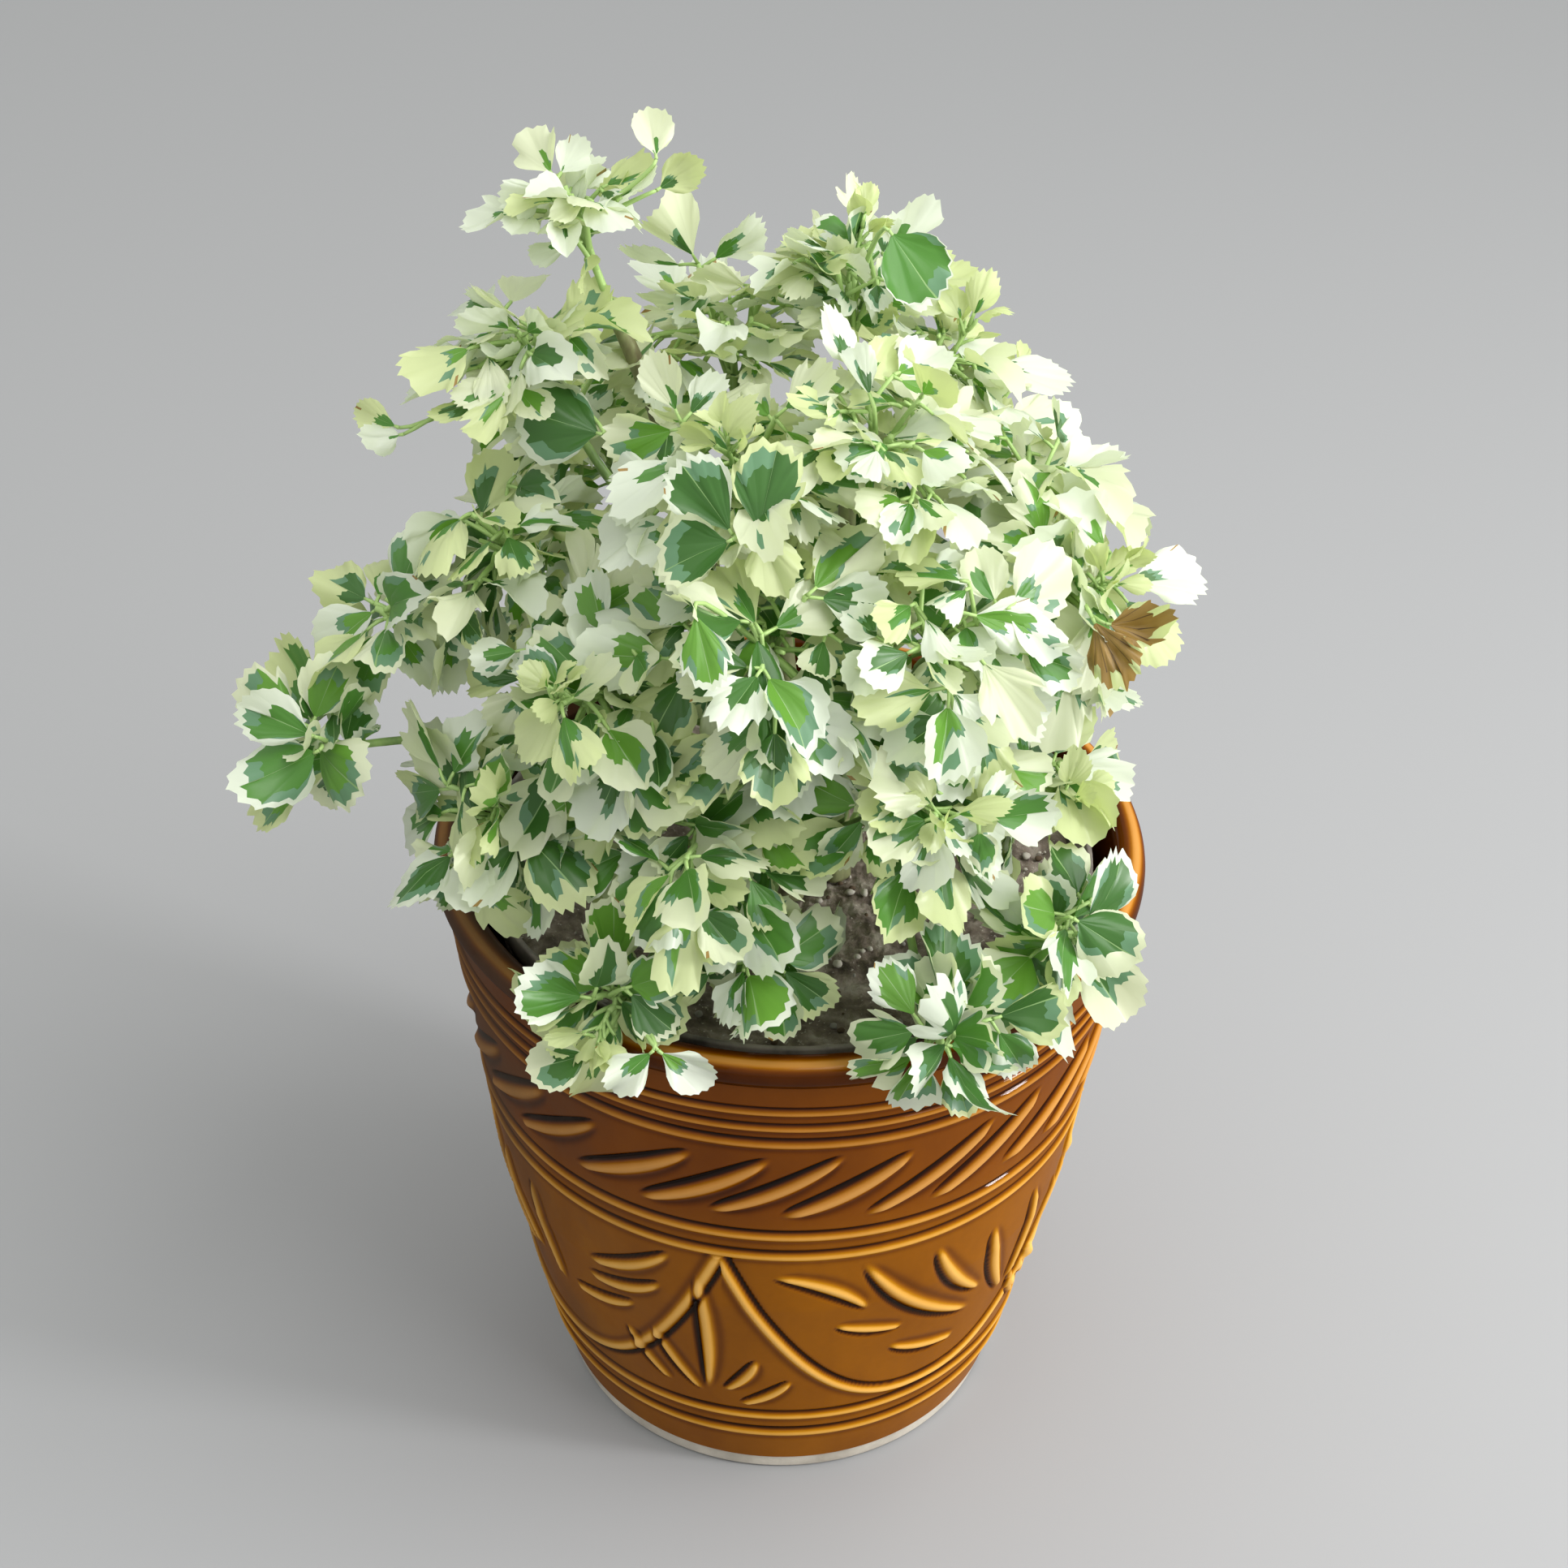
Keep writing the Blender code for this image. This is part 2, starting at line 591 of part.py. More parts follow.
def keep_one_body(shape):
    """Triangles only, and only the largest of the separate shells: scraps are dropped."""
    bmesh.ops.dissolve_limit(shape, angle_limit=math.radians(0.05), verts=shape.verts, edges=shape.edges)
    bmesh.ops.triangulate(shape, faces=shape.faces)
    shells, seen = [], set()
    for first in shape.verts:
        if first in seen:
            continue
        shell, waiting = set(), [first]
        while waiting:
            vert = waiting.pop()
            if vert in shell:
                continue
            shell.add(vert)
            waiting.extend(edge.other_vert(vert) for edge in vert.link_edges)
        seen |= shell
        shells.append(shell)
    largest = max(shells, key=len)
    loose = [vert for vert in shape.verts if vert not in largest]
    bmesh.ops.delete(shape, geom=loose, context="VERTS")


def build_pot(plant):
    glaze = make_material("amber_glaze", (0.42, 0.17, 0.02), 0.12)
    plastic = make_material("nursery_plastic", (0.03, 0.03, 0.03), 0.45)
    soil = make_material("potting_soil", (0.16, 0.12, 0.09), 0.95)
    pot = make_turned("pot", pot_profile(), POT_SIDES, glaze, plant)
    fuse(pot, carving_beads())
    pot.data.set_sharp_from_angle(angle=math.radians(40))
    make_turned("nursery_pot", liner_profile(), LINER_SIDES, plastic, plant)
    make_turned("soil", soil_profile(), LINER_SIDES, soil, plant)


def build_limbs(plant):
    """The stems and the boughs; gives the limbs and the limb that each mass carries on."""
    bark = make_material("green_bark", (0.33, 0.38, 0.16), 0.6)
    stems = {name: stem_path(foot, tip) for name, foot, tip in STEMS}
    taken = {name: [] for name in stems}
    limbs = []
    for name, path in stems.items():
        radii = taper(path, STEM_BASE_RADIUS, STEM_TIP_RADIUS)
        limbs.append((path, radii))
        make_tube(name, path, radii, STEM_SIDES, bark, plant)
    carriers = {}
    for name, stem, centre, reach, arch in reversed(MASSES[len(STEMS):]):
        path = bough_path(stems[stem], np.array(centre) * MM, reach * MM, arch, taken[stem])
        radii = taper(path, BOUGH_BASE_RADIUS, BOUGH_TIP_RADIUS)
        limbs.append((path, radii))
        carriers[name] = path
        make_tube("bough_" + name, path, radii, BOUGH_SIDES, bark, plant)
    for name, stem, _, _, _ in MASSES[:len(STEMS)]:
        carriers[name] = stems[stem]
    return limbs, carriers


def build_foliage(plant, limbs, carriers):
    leaf = make_material("variegated_leaf", (0.72, 0.76, 0.50), 0.5)
    centres = np.array([mass[2] for mass in MASSES]) * MM
    reaches = np.array([mass[3] for mass in MASSES]) * MM
    crown = Crown(centres, reaches, limbs)
    for index, mass in enumerate(MASSES):
        spine, twigs, leaves = grow_mass(crown, index, carriers[mass[0]])
        points, faces = tube_shape(spine, taper(spine, *SPINE_RADII), 3)
        body = make_object("foliage_" + mass[0], points, faces, leaf, plant)
        shapes = [tube_shape(twig, taper(twig, *TWIG_RADII), 3) for twig in twigs]
        fuse(body, shapes + [(blade, LEAF_FACES) for blade in leaves])


def main():
    for piece in list(bpy.data.objects):
        bpy.data.objects.remove(piece)
    plant = bpy.data.objects.new("potted_aralia", None)
    bpy.context.collection.objects.link(plant)
    build_pot(plant)
    limbs, carriers = build_limbs(plant)
    build_foliage(plant, limbs, carriers)


main()
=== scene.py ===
"""A variegated aralia in its amber-glazed pot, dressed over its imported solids.

Every shape is a surface worked out on a grid with numpy. The limbs and the foliage grow by
the same seeded rule as the solids, and carry it on to finer twigs and leaflets.
"""

import math
import random

import bpy
import numpy as np
from bpy.props import FloatProperty, FloatVectorProperty, IntProperty, PointerProperty
from mathutils import Matrix, Vector


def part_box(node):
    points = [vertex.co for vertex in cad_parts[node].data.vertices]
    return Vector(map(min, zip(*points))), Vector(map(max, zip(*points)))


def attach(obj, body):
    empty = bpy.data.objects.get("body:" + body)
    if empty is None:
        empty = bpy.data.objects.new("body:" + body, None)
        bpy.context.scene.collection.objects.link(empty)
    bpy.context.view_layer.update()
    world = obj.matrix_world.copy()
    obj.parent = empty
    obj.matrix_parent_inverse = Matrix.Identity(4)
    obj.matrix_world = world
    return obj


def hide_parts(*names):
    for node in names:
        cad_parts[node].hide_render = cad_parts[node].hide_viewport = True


bl_info = {
    "name": "Potted variegated aralia",
    "version": (1, 0, 0),
    "blender": (4, 5, 0),
    "location": "View3D > Sidebar > Aralia",
    "description": "Glazed pot, soil, limbs and variegated foliage around the packed solids",
    "category": "Object",
}

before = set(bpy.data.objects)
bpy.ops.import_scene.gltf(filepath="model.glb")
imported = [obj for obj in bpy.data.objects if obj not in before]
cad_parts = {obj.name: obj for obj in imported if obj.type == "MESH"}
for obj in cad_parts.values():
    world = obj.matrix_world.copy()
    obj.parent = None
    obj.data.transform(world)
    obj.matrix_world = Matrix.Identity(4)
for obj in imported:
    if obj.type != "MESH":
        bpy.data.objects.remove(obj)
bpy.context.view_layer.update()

# A millimetre, the gap between neighbours and the radius of a pole's ring, in metres, and the
# full turn that random phases are drawn from
MM = 0.001
GAP = 0.0003
POLE_RADIUS = 0.0002
FULL_TURN = 6.28

# Straight up, and the way towards the photograph's camera
UP = np.array((0.0, 0.0, 1.0))
VIEW_SIDE = np.array((0.0, -0.8, 0.6))

# The pot's sizes, read off its solids
RIM_RADIUS, _, POT_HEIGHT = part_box("pot")[1]
LINER_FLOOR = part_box("nursery_pot")[0][2]
LINER_RIM_RADIUS, _, LINER_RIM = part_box("nursery_pot")[1]
SOIL_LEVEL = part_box("soil")[1][2]
LIP_INNER_RADIUS = RIM_RADIUS - 0.0075
LIP_HEIGHT = 0.0075
LIP_DEPTH = 0.011
WALL_THICKNESS = 0.0062
FLOOR_TOP = 0.009
LINER_THICKNESS = 0.0014
LINER_LIP = 0.004
SOIL_RADIUS, STONE_RING = 0.0703, 0.069
BAND_LOW, BAND_SEAM, BAND_HIGH = 0.0055, 0.1008, POT_HEIGHT - LIP_HEIGHT
BAND_FADE = 0.003

# Where the pot's wall changes its slope: at the foot, the tuck above it, the waist and the top
WALL_HEIGHTS = (0.0050, 0.020, 0.076, POT_HEIGHT)
WALL_RADII = (0.0576, 0.0616, 0.0729, 0.0834)

# Grid points: rows of the pot's two wall bands, columns of what is turned, rows and columns of
# the soil and of a stone, and steps and sides of stems, boughs, twigs and leaf stalks
LOWER_ROWS, UPPER_ROWS = 136, 120
TURNED_COLUMNS, LINER_COLUMNS = 240, 160
SOIL_GRID, STONE_GRID = (120, 300), (6, 8)
STEM_GRID, BOUGH_GRID, TWIG_GRID, STALK_GRID = (150, 28), (60, 14), (5, 6), (3, 4)

# How many clods and waves make the soil, and ring scars and furrows a stem's bark, and how deep
# those two are, as shares of its radius
CLOD_COUNT, WAVE_COUNT = 90, 14
SCAR_COUNT, FURROW_COUNT = 9, 4
SCAR_DEPTH, FURROW_DEPTH = 0.11, 0.022

# Where the random numbers of each group of pieces start
CARVING_SEED, BARK_SEED, SOIL_SEED, STONE_SEED, LEAF_SEED = 7, 5, 11, 12, 21

# The growth rule's sizes, as in the solids
STEM_RADII = (0.0031, 0.0017)
BOUGH_RADII = (0.0014, 0.0009)
SPINE_RADII = (0.0010, 0.0007)
STEM_STEPS = 8
BOUGH_STEPS = 6
BOUGH_SPACING = 0.0058
CROWN_HEART = np.array((-0.006, 0.0, 0.215))
USUAL_REACH = 0.030
TWIG_DIRECTIONS = 8
CAD_LEAF_LENGTH = 0.0235
LIMB_CLEARANCE = 0.0011
BOUGH_ABOVE_FOOT, BOUGH_BELOW_TIP = 0.007, 0.014
BOUGH_SLOPE, BOUGH_DROP = 0.75, 0.9
BOUGH_RISE = 0.65
BOUGH_BELLY = 0.45
MASS_EDGE = 0.6
SPINE_RISE = 0.4
SPINE_SHIFTS = (0.0, -0.3, 0.3, -0.5, 0.5)
SPINE_SAMPLES, SPINE_FREE_FROM, SPINE_STEPS = 15, 4, 3
TWIG_SHARES = (1.0, 0.8, 0.6)
TWIG_SAMPLES = 9
TWIG_CLEARANCE = 0.002
FIRST_SEED = 40
GOLDEN_ANGLE = math.pi * (3 - math.sqrt(5))

# Each stem: its name, where it leaves the soil and where it ends, in millimetres
STEMS = (
    ("stem_left", (-9, 1), (-41, 8, 299)),
    ("stem_centre", (0, -8), (-11, -14, 252)),
    ("stem_right", (11, 0), (11, 9, 273)),
    ("stem_back", (1, 11), (-11, 18, 255)),
)

# Each mass: its name, stem, middle, reach and the rise of its bough, in millimetres, and how
# green its leaflets are, from 0 for cream to 1 for green
MASSES = (
    ("top_left", "stem_left", (-49, 10, 322), 18, 0, 0.12),
    ("top_middle", "stem_back", (-17, 18, 288), 28, 0, 0.18),
    ("top_right", "stem_right", (10, 12, 304), 22, 0, 0.30),
    ("high_front", "stem_centre", (-13, -34, 281), 29, 0, 0.30),
    ("shoulder_left", "stem_left", (-60, 4, 289), 22, 0, 0.22),
    ("shoulder_right", "stem_right", (31, 8, 286), 19, 0, 0.15),
    ("high_right", "stem_right", (52, 2, 259), 22, 0, 0.12),
    ("high_front_right", "stem_right", (17, -30, 287), 27, 0, 0.25),
    ("middle_left", "stem_left", (-64, -14, 250), 25, 0, 0.40),
    ("far_left", "stem_left", (-89, -18, 237), 16, 6, 0.40),
    ("far_left_low", "stem_left", (-103, -36, 215), 16, 12, 0.60),
    ("middle_right", "stem_right", (57, -22, 248), 24, 0, 0.22),
    ("middle_front", "stem_centre", (-6, -54, 253), 29, 0, 0.50),
    ("middle_front_right", "stem_right", (30, -50, 253), 28, 0, 0.32),
    ("middle_front_left", "stem_centre", (-41, -48, 238), 29, 0, 0.42),
    ("low_left", "stem_left", (-65, -47, 204), 24, 2, 0.50),
    ("low_front", "stem_centre", (-20, -62, 211), 27, 4, 0.48),
    ("low_front_right", "stem_right", (26, -60, 222), 24, 4, 0.50),
    ("low_right", "stem_right", (50, -32, 206), 22, 4, 0.48),
    ("hanging_left", "stem_centre", (-37, -76, 177), 19, 16, 0.66),
    ("hanging_middle", "stem_centre", (-7, -71, 185), 18, 10, 0.66),
    ("hanging_front", "stem_right", (32, -87, 178), 17, 24, 0.70),
    ("hanging_right", "stem_right", (57, -60, 185), 19, 16, 0.56),
    ("back_left", "stem_back", (-48, 40, 247), 30, 0, 0.35),
    ("back_right", "stem_back", (37, 40, 247), 29, 0, 0.30),
    ("back_low_left", "stem_left", (-51, 43, 203), 26, 8, 0.50),
    ("back_low_right", "stem_right", (48, 41, 203), 26, 8, 0.48),
    ("back_middle", "stem_back", (-2, 61, 220), 28, 4, 0.42),
)

# How much wider a stem and a bough are at their very foot
STEM_SWELL, BOUGH_SWELL = 0.0006, 0.0009

# Radii, at the start and the end, of the solids' twigs and the finer ones, side stalks, shoots,
# the twigs of single leaflets, and leaf stalks
TWIG_RADII = ((0.0008, 0.0006), (0.0007, 0.0005))
BRANCH_RADII = (0.0006, 0.00045)
SHOOT_RADII = (0.0006, 0.0004)
SINGLE_TWIG_RADII = (0.0007, 0.0004)
LEAF_STALK_RADII = (0.00055, 0.00040)

# How far inward the solids' twigs and the finer ones may point, as cosines, and how far the
# finer ones may pass their mass's space
INWARD_LIMITS = (-0.25, -0.6)
FINE_TWIG_SLACK = 0.004
BRANCHING_LENGTH = 0.009

# How large leaflets grow at each height, as shares of a usual one, how far apart they stay, as
# a share of their length, and how far from the pot
SIZE_HEIGHTS = (0.20, 0.26, 0.30, 0.325)
SIZE_SHARES = (1.08, 1.02, 0.86, 0.74)
LEAFLET_SPACING = 0.41
LEAFLET_CLEARANCE = 0.0004

# The photograph's viewpoint, in metres and degrees
VIEW_AIM = (-0.0017, 0.0, 0.178)
VIEW_DISTANCE = 0.691
VIEW_ELEVATION = 37.1
VIEW_ROLL = 1.29
VIEW_ANGLE = 30.03

# Each soft light: its place, what it is aimed at, its two widths in metres, and its power as a
# share of the key light's
LIGHTS = {
    "key": ((0.65, -0.30, 1.20), (0.0, 0.0, 0.20), (1.10, 1.10), 1.0),
    "overhead": ((0.0, -0.20, 2.00), (0.0, 0.0, 0.20), (2.20, 2.20), 0.50),
    "strip": ((1.10, -0.34, 0.50), (0.0, 0.0, 0.12), (0.16, 0.24), 0.60),
    "fill": ((-0.90, -0.80, 0.90), (0.0, 0.0, 0.20), (1.10, 1.10), 0.03),
}
SKY_TINT = (0.95, 0.97, 0.95, 1.0)
FLOOR_HALF_WIDTH = 6.0
FLOOR_LEVEL = -0.0002

# The order of the leaf materials on every foliage piece
LEAF_TONES = ("cream_white", "cream", "cream_yellow", "green_fresh", "green_mid", "green_deep",
              "green_grey", "vein", "dry_brown", "dry_vein")
TONE = {name: number for number, name in enumerate(LEAF_TONES)}

# The leaflets' colours: shades of the two that a user may change, and fixed ones
CREAM_SHADES = {
    "cream_white": (1.0, 1.01, 1.20),
    "cream": (1.0, 1.0, 1.0),
    # The yellow cream is a darker copy: the yellower cream of young leaflets, and painted shade on
    # the grown leaflets that it is dealt to.
    "cream_yellow": (0.86, 0.90, 0.66),
}
GREEN_SHADES = {
    "green_fresh": (2.1, 1.7, 1.4),
    "green_mid": (1.15, 1.15, 1.1),
    "green_deep": (0.66, 0.70, 0.75),
}
FIXED_LEAF_COLOURS = {
    "green_grey": (0.150, 0.300, 0.175),
    "vein": (0.30, 0.47, 0.20),
    "dry_brown": (0.30, 0.18, 0.045),
    "dry_vein": (0.115, 0.062, 0.018),
}

# The share of light that passes through a blade, and the tint that it takes on there
USUAL_THINNESS = 0.38
THINNESS = {"dry_brown": 0.20, "dry_vein": 0.10, "green_deep": 0.22, "green_mid": 0.28}
GLOW_TINT = (1.0, 1.08, 0.66)

# The other finishes' fixed colours
# The glaze's top and left tints darken it as painted shade: under the foliage, and on the side
# away from the lights. Its dust colour is dark, so the dust also paints shade on the left.
GLAZE_TOP_SHADE_TINT, GLAZE_LEFT_SHADE_TINT = (0.66, 0.52, 0.46), (0.42, 0.40, 0.42)
GLAZE_DUST_AND_SHADE = (0.085, 0.062, 0.045)
CLAY_SCUFF, CLAY_PALE, CLAY_GRAIN = (0.30, 0.26, 0.21), (0.60, 0.55, 0.47), (0.36, 0.31, 0.25)
LINER_BLACK, LINER_DUST = (0.045, 0.040, 0.038), (0.36, 0.31, 0.26)
SOIL_DAMP, SOIL_PLAIN, SOIL_DRY = (0.05, 0.038, 0.028), (0.19, 0.15, 0.12), (0.40, 0.35, 0.30)
SOIL_SPECK = (0.50, 0.46, 0.40)
BARK_SKIN, BARK_FLECK = (0.30, 0.33, 0.15), (0.13, 0.11, 0.06)
BOUGH_SKIN, BOUGH_FLECK = (0.32, 0.48, 0.15), (0.17, 0.27, 0.09)
TWIG_SKIN = (0.36, 0.52, 0.18)

# The bits on the soil: each kind's colour, roughness and share
STONE_KINDS = {
    "stone_pale": ((0.50, 0.46, 0.40), 0.8, 0.45),
    "stone_grey": ((0.26, 0.24, 0.22), 0.8, 0.35),
    "bark_chip": ((0.10, 0.065, 0.04), 0.9, 0.20),
}

# The roughness of every noise pattern, and the glaze tone of a wall without relief
NOISE_ROUGHNESS = 0.55
PLAIN_TONE = 0.46


def unit(vector):
    """A vector, or each row of an array of vectors, at length one."""
    return vector / np.linalg.norm(vector, axis=-1, keepdims=True)


class Value:
    """A number that a shader node gives out. Its operators add Math nodes to the tree."""

    def __init__(self, maker, socket):
        self.maker = maker
        self.socket = socket

    def math(self, operation, first, second, clamp=False):
        """A Math node of an operation on two numbers or values."""
        settings = {"operation": operation, "use_clamp": clamp}
        made = self.maker.node("ShaderNodeMath", settings, {0: first, 1: second})
        return Value(self.maker, made.outputs[0])

    def __add__(self, other):
        return self.math("ADD", self, other)

    def __radd__(self, other):
        return self.math("ADD", other, self)

    def __sub__(self, other):
        return self.math("SUBTRACT", self, other)

    def __rsub__(self, other):
        return self.math("SUBTRACT", other, self)

    def __mul__(self, other):
        return self.math("MULTIPLY", self, other)

    def __rmul__(self, other):
        return self.math("MULTIPLY", other, self)

    def clamped(self):
        """The same number, kept between 0 and 1."""
        return self.math("ADD", self, 0.0, clamp=True)


class Finish:
    """A Principled material in the making."""

    def __init__(self, name, **constants):
        self.material = bpy.data.materials.new(name)
        self.material.use_nodes = True
        self.tree = self.material.node_tree
        self.shader = self.tree.nodes["Principled BSDF"]
        for label, value in constants.items():
            self.shader.inputs[label.replace("_", " ")].default_value = value

    def node(self, kind, settings=None, inputs=None):
        """A node of a kind: its settings first, then its sockets' values or links."""
        made = self.tree.nodes.new(kind)
        for label, value in (settings or {}).items():
            if label == "stops":
                self.fill_ramp(made.color_ramp, value)
            else:
                setattr(made, label, value)
        for label, value in (inputs or {}).items():
            self.join(value, made.inputs[label])
        return made

    def fill_ramp(self, ramp, stops):
        """Gives a ramp its stops, each a place and a colour."""
        while len(ramp.elements) < len(stops):
            ramp.elements.new(1.0)
        for element, (place, colour) in zip(ramp.elements, stops):
            element.position = place
            element.color = (*colour, 1.0)

    def join(self, value, socket):
        """Links a value or an output to a socket, or stores a plain number or colour there."""
        source = value.socket if isinstance(value, Value) else value
        if isinstance(source, bpy.types.NodeSocket):
            self.tree.links.new(source, socket)
        else:
            socket.default_value = source

    def place(self):
        """Object coordinates, which are metres from the pot's axis and underside."""
        return self.node("ShaderNodeTexCoord").outputs["Object"]

    def attribute(self, name):
        """A number that the mesh carries at each point."""
        made = self.node("ShaderNodeAttribute", {"attribute_name": name})
        return Value(self, made.outputs["Fac"])

    def noise(self, scale, detail, stretch=(1.0, 1.0, 1.0)):
        """A noise pattern from 0 to 1, of scale features to a metre, stretched by each axis."""
        mapped = self.node("ShaderNodeMapping", None, {"Vector": self.place(), "Scale": stretch})
        inputs = {"Vector": mapped.outputs[0], "Scale": scale, "Detail": detail,
                  "Roughness": NOISE_ROUGHNESS}
        return Value(self, self.node("ShaderNodeTexNoise", None, inputs).outputs["Fac"])

    def ramp(self, factor, stops):
        """A colour read off a row of stops by a factor."""
        return self.node("ShaderNodeValToRGB", {"stops": stops}, {"Fac": factor}).outputs["Color"]

    def step(self, value, low, high):
        """A value that passes smoothly from 0 at low to 1 at high."""
        inputs = {"Value": value, "From Min": low, "From Max": high}
        made = self.node("ShaderNodeMapRange", {"interpolation_type": "SMOOTHSTEP"}, inputs)
        return Value(self, made.outputs["Result"])

    def mix(self, factor, first, second, blend="MIX"):
        """A colour between two, or the first blended with the second, by a factor."""
        settings = {"data_type": "RGBA", "blend_type": blend}
        made = self.node("ShaderNodeMix", settings, {0: factor, 6: rgba(first), 7: rgba(second)})
        return made.outputs[2]

    def part(self, axis):
        """One of the three object coordinates."""
        split = self.node("ShaderNodeSeparateXYZ", None, {"Vector": self.place()})
        return Value(self, split.outputs[axis])

    def bump(self, height, strength, distance):
        """Dents the surface's shading by a height from 0 to 1."""
        inputs = {"Height": height, "Strength": strength, "Distance": distance}
        self.set("Normal", self.node("ShaderNodeBump", None, inputs).outputs[0])

    def set(self, label, value):
        """Feeds one of the shader's own sockets."""
        self.join(value, self.shader.inputs[label])


def rgba(colour):
    """A plain colour with full alpha added, and a link as it is."""
    return (*colour, 1.0) if isinstance(colour, tuple) and len(colour) == 3 else colour


def new_piece(name, points, faces, materials, tones=None):
    """An object at the origin from arrays of points and of faces with equal corner counts."""
    mesh = bpy.data.meshes.new(name)
    corners = faces.shape[1]
    mesh.vertices.add(len(points))
    mesh.vertices.foreach_set("co", points.astype(np.float32).ravel())
    mesh.loops.add(faces.size)
    mesh.loops.foreach_set("vertex_index", faces.astype(np.int32).ravel())
    mesh.polygons.add(len(faces))
    mesh.polygons.foreach_set("loop_start", np.arange(0, faces.size, corners, dtype=np.int32))
    for material in materials:
        mesh.materials.append(material)
    if tones is not None:
        mesh.polygons.foreach_set("material_index", tones.astype(np.int32))
    mesh.update(calc_edges=True)
    mesh.validate()
    mesh.shade_smooth()
    piece = bpy.data.objects.new(name, mesh)
    bpy.context.scene.collection.objects.link(piece)
    return piece


def grid_faces(rows, columns, closed):
    """Quads of a grid of rows by columns of points, joined round where it is closed."""
    row = np.arange(rows - 1)[:, None] * columns
    column = np.arange(columns if closed else columns - 1)
    after = (column + 1) % columns
    low, high = (row + column, row + after), (row + columns + after, row + columns + column)
    return np.stack([*low, *high], -1).reshape(-1, 4)


def closed_faces(rows, columns, start=True, end=True):
    """Quads of a grid joined round, with its first and last rings closed flat.

    A ring of an even number of points is closed by quads that run across it side by side.
    """
    first = np.arange(columns // 2 - 1)
    across = np.stack([first, first + 1, columns - 2 - first, columns - 1 - first], -1)
    faces = [grid_faces(rows, columns, True)]
    if start:
        faces.append(across[:, ::-1])
    if end:
        faces.append(across + (rows - 1) * columns)
    return np.concatenate(faces)


def smooth(x, low, high):
    """0 below low, 1 above high, and an even S between them."""
    t = np.clip((x - low) / (high - low), 0.0, 1.0)
    return t * t * (3 - 2 * t)


def round_the_axis(columns):
    """Even angles all round, as a row. The side that the photograph shows is at 0."""
    return np.linspace(-np.pi, np.pi, columns, endpoint=False)[None, :]


def ring_points(radius, angle, height):
    """Points at r sin a, -r cos a and z, for a radius r, an angle a and a height z."""
    x, y = radius * np.sin(angle), -radius * np.cos(angle)
    return np.stack(np.broadcast_arrays(x, y, height), -1)


def wall_radius(height):
    """The pot's outside radius: straight runs from foot to tuck, to waist, to lip."""
    return np.interp(height, WALL_HEIGHTS, WALL_RADII)


def bead_and_groove(place):
    """A cut's profile: a rounded bead of raised clay, a narrow groove along one side of it and
    a shallow one along the other.

    All are bell curves of the place across the cut, the bead's twice as wide as the groove's.
    """
    bead = 0.95 * np.exp(-((place + 0.25) / 0.56) ** 2)
    groove = 1.1 * np.exp(-((place - 0.88) / 0.28) ** 2)
    hollow = 0.22 * np.exp(-((place + 1.35) / 0.5) ** 2)
    return bead - (groove + hollow)


def ring_line(height, middle, wobble, width):
    """A thrown line: a bead with a groove just above it, that wanders a little."""
    return THROWN_DEPTH * bead_and_groove((height - middle - wobble) / width)


def gouge(across, along, width, depth):
    """A leaf-shaped cut: a bead and a groove that both narrow to a point at each end.

    across is the distance from the cut's own line, along runs from 0 to 1 down its length,
    and the width falls towards the ends as the root of a sine.
    """
    body = np.sqrt(np.sin(np.pi * np.clip(along, 0.0, 1.0)))
    half = width * (0.14 + 0.86 * body)
    ends = smooth(along, -0.01, 0.14) * (1 - smooth(along, 0.86, 1.01))
    return depth * ends * bead_and_groove(across / half)


def cut_stroke(relief, angle, height, start, end, bend, width, depth, flip=1.0):
    """Adds one cut between two places on the wall, each an angle in degrees and a height.

    The wall is unrolled round the cut's own middle. The cut's line leaves its chord by
    bend times 4t(1 - t), and flip turns the groove to the other side.
    """
    radius = wall_radius((start[1] + end[1]) / 2)
    middle = math.radians((start[0] + end[0]) / 2)
    x = ((angle - middle + np.pi) % (2 * np.pi) - np.pi) * radius
    x0 = math.radians(start[0] - end[0]) / 2 * radius
    chord = np.array((-2 * x0, end[1] - start[1]))
    length = np.hypot(*chord)
    way = chord / length
    low, high = sorted((start[1], end[1]))
    near = np.abs(x) < abs(x0) + 3 * width + abs(bend)
    near &= (height > low - CUT_MARGIN) & (height < high + CUT_MARGIN)
    dx, dz = x[near] - x0, height[near] - start[1]
    along = (dx * way[0] + dz * way[1]) / length
    across = -dx * way[1] + dz * way[0] - bend * 4 * along * (1 - along)
    relief[near] += gouge(across * flip, along, width, depth)


# Cuts inside the two kinds of swag and in the fan where swags meet: start, end, bend and half
# width, with angles in degrees from the swag's left end and lengths in millimetres
SWAG_SPRAYS = (
    (((10, 89), (28, 74), 2.4, 2.6), ((21, 68), (37, 62), -1.0, 2.3),
     ((35, 54), (51, 46), -1.6, 2.3), ((27, 92), (54, 55), -4.0, 2.9),
     ((42, 90), (55, 62), -2.6, 2.5), ((55, 86), (64, 52), -2.0, 2.5),
     ((68, 88), (67, 52), 2.0, 2.3), ((79, 80), (71, 48), 2.2, 2.2)),
    (((10, 90), (29, 77), 2.0, 2.5), ((14, 78), (33, 68), 2.0, 2.5),
     ((24, 63), (39, 56), 1.4, 2.3), ((33, 86), (44, 58), -2.0, 2.4),
     ((46, 88), (50, 54), -1.0, 2.4), ((62, 76), (81, 92), -2.0, 2.4),
     ((60, 69), (79, 79), -2.4, 2.4), ((55, 58), (71, 66), -1.6, 2.2)),
)
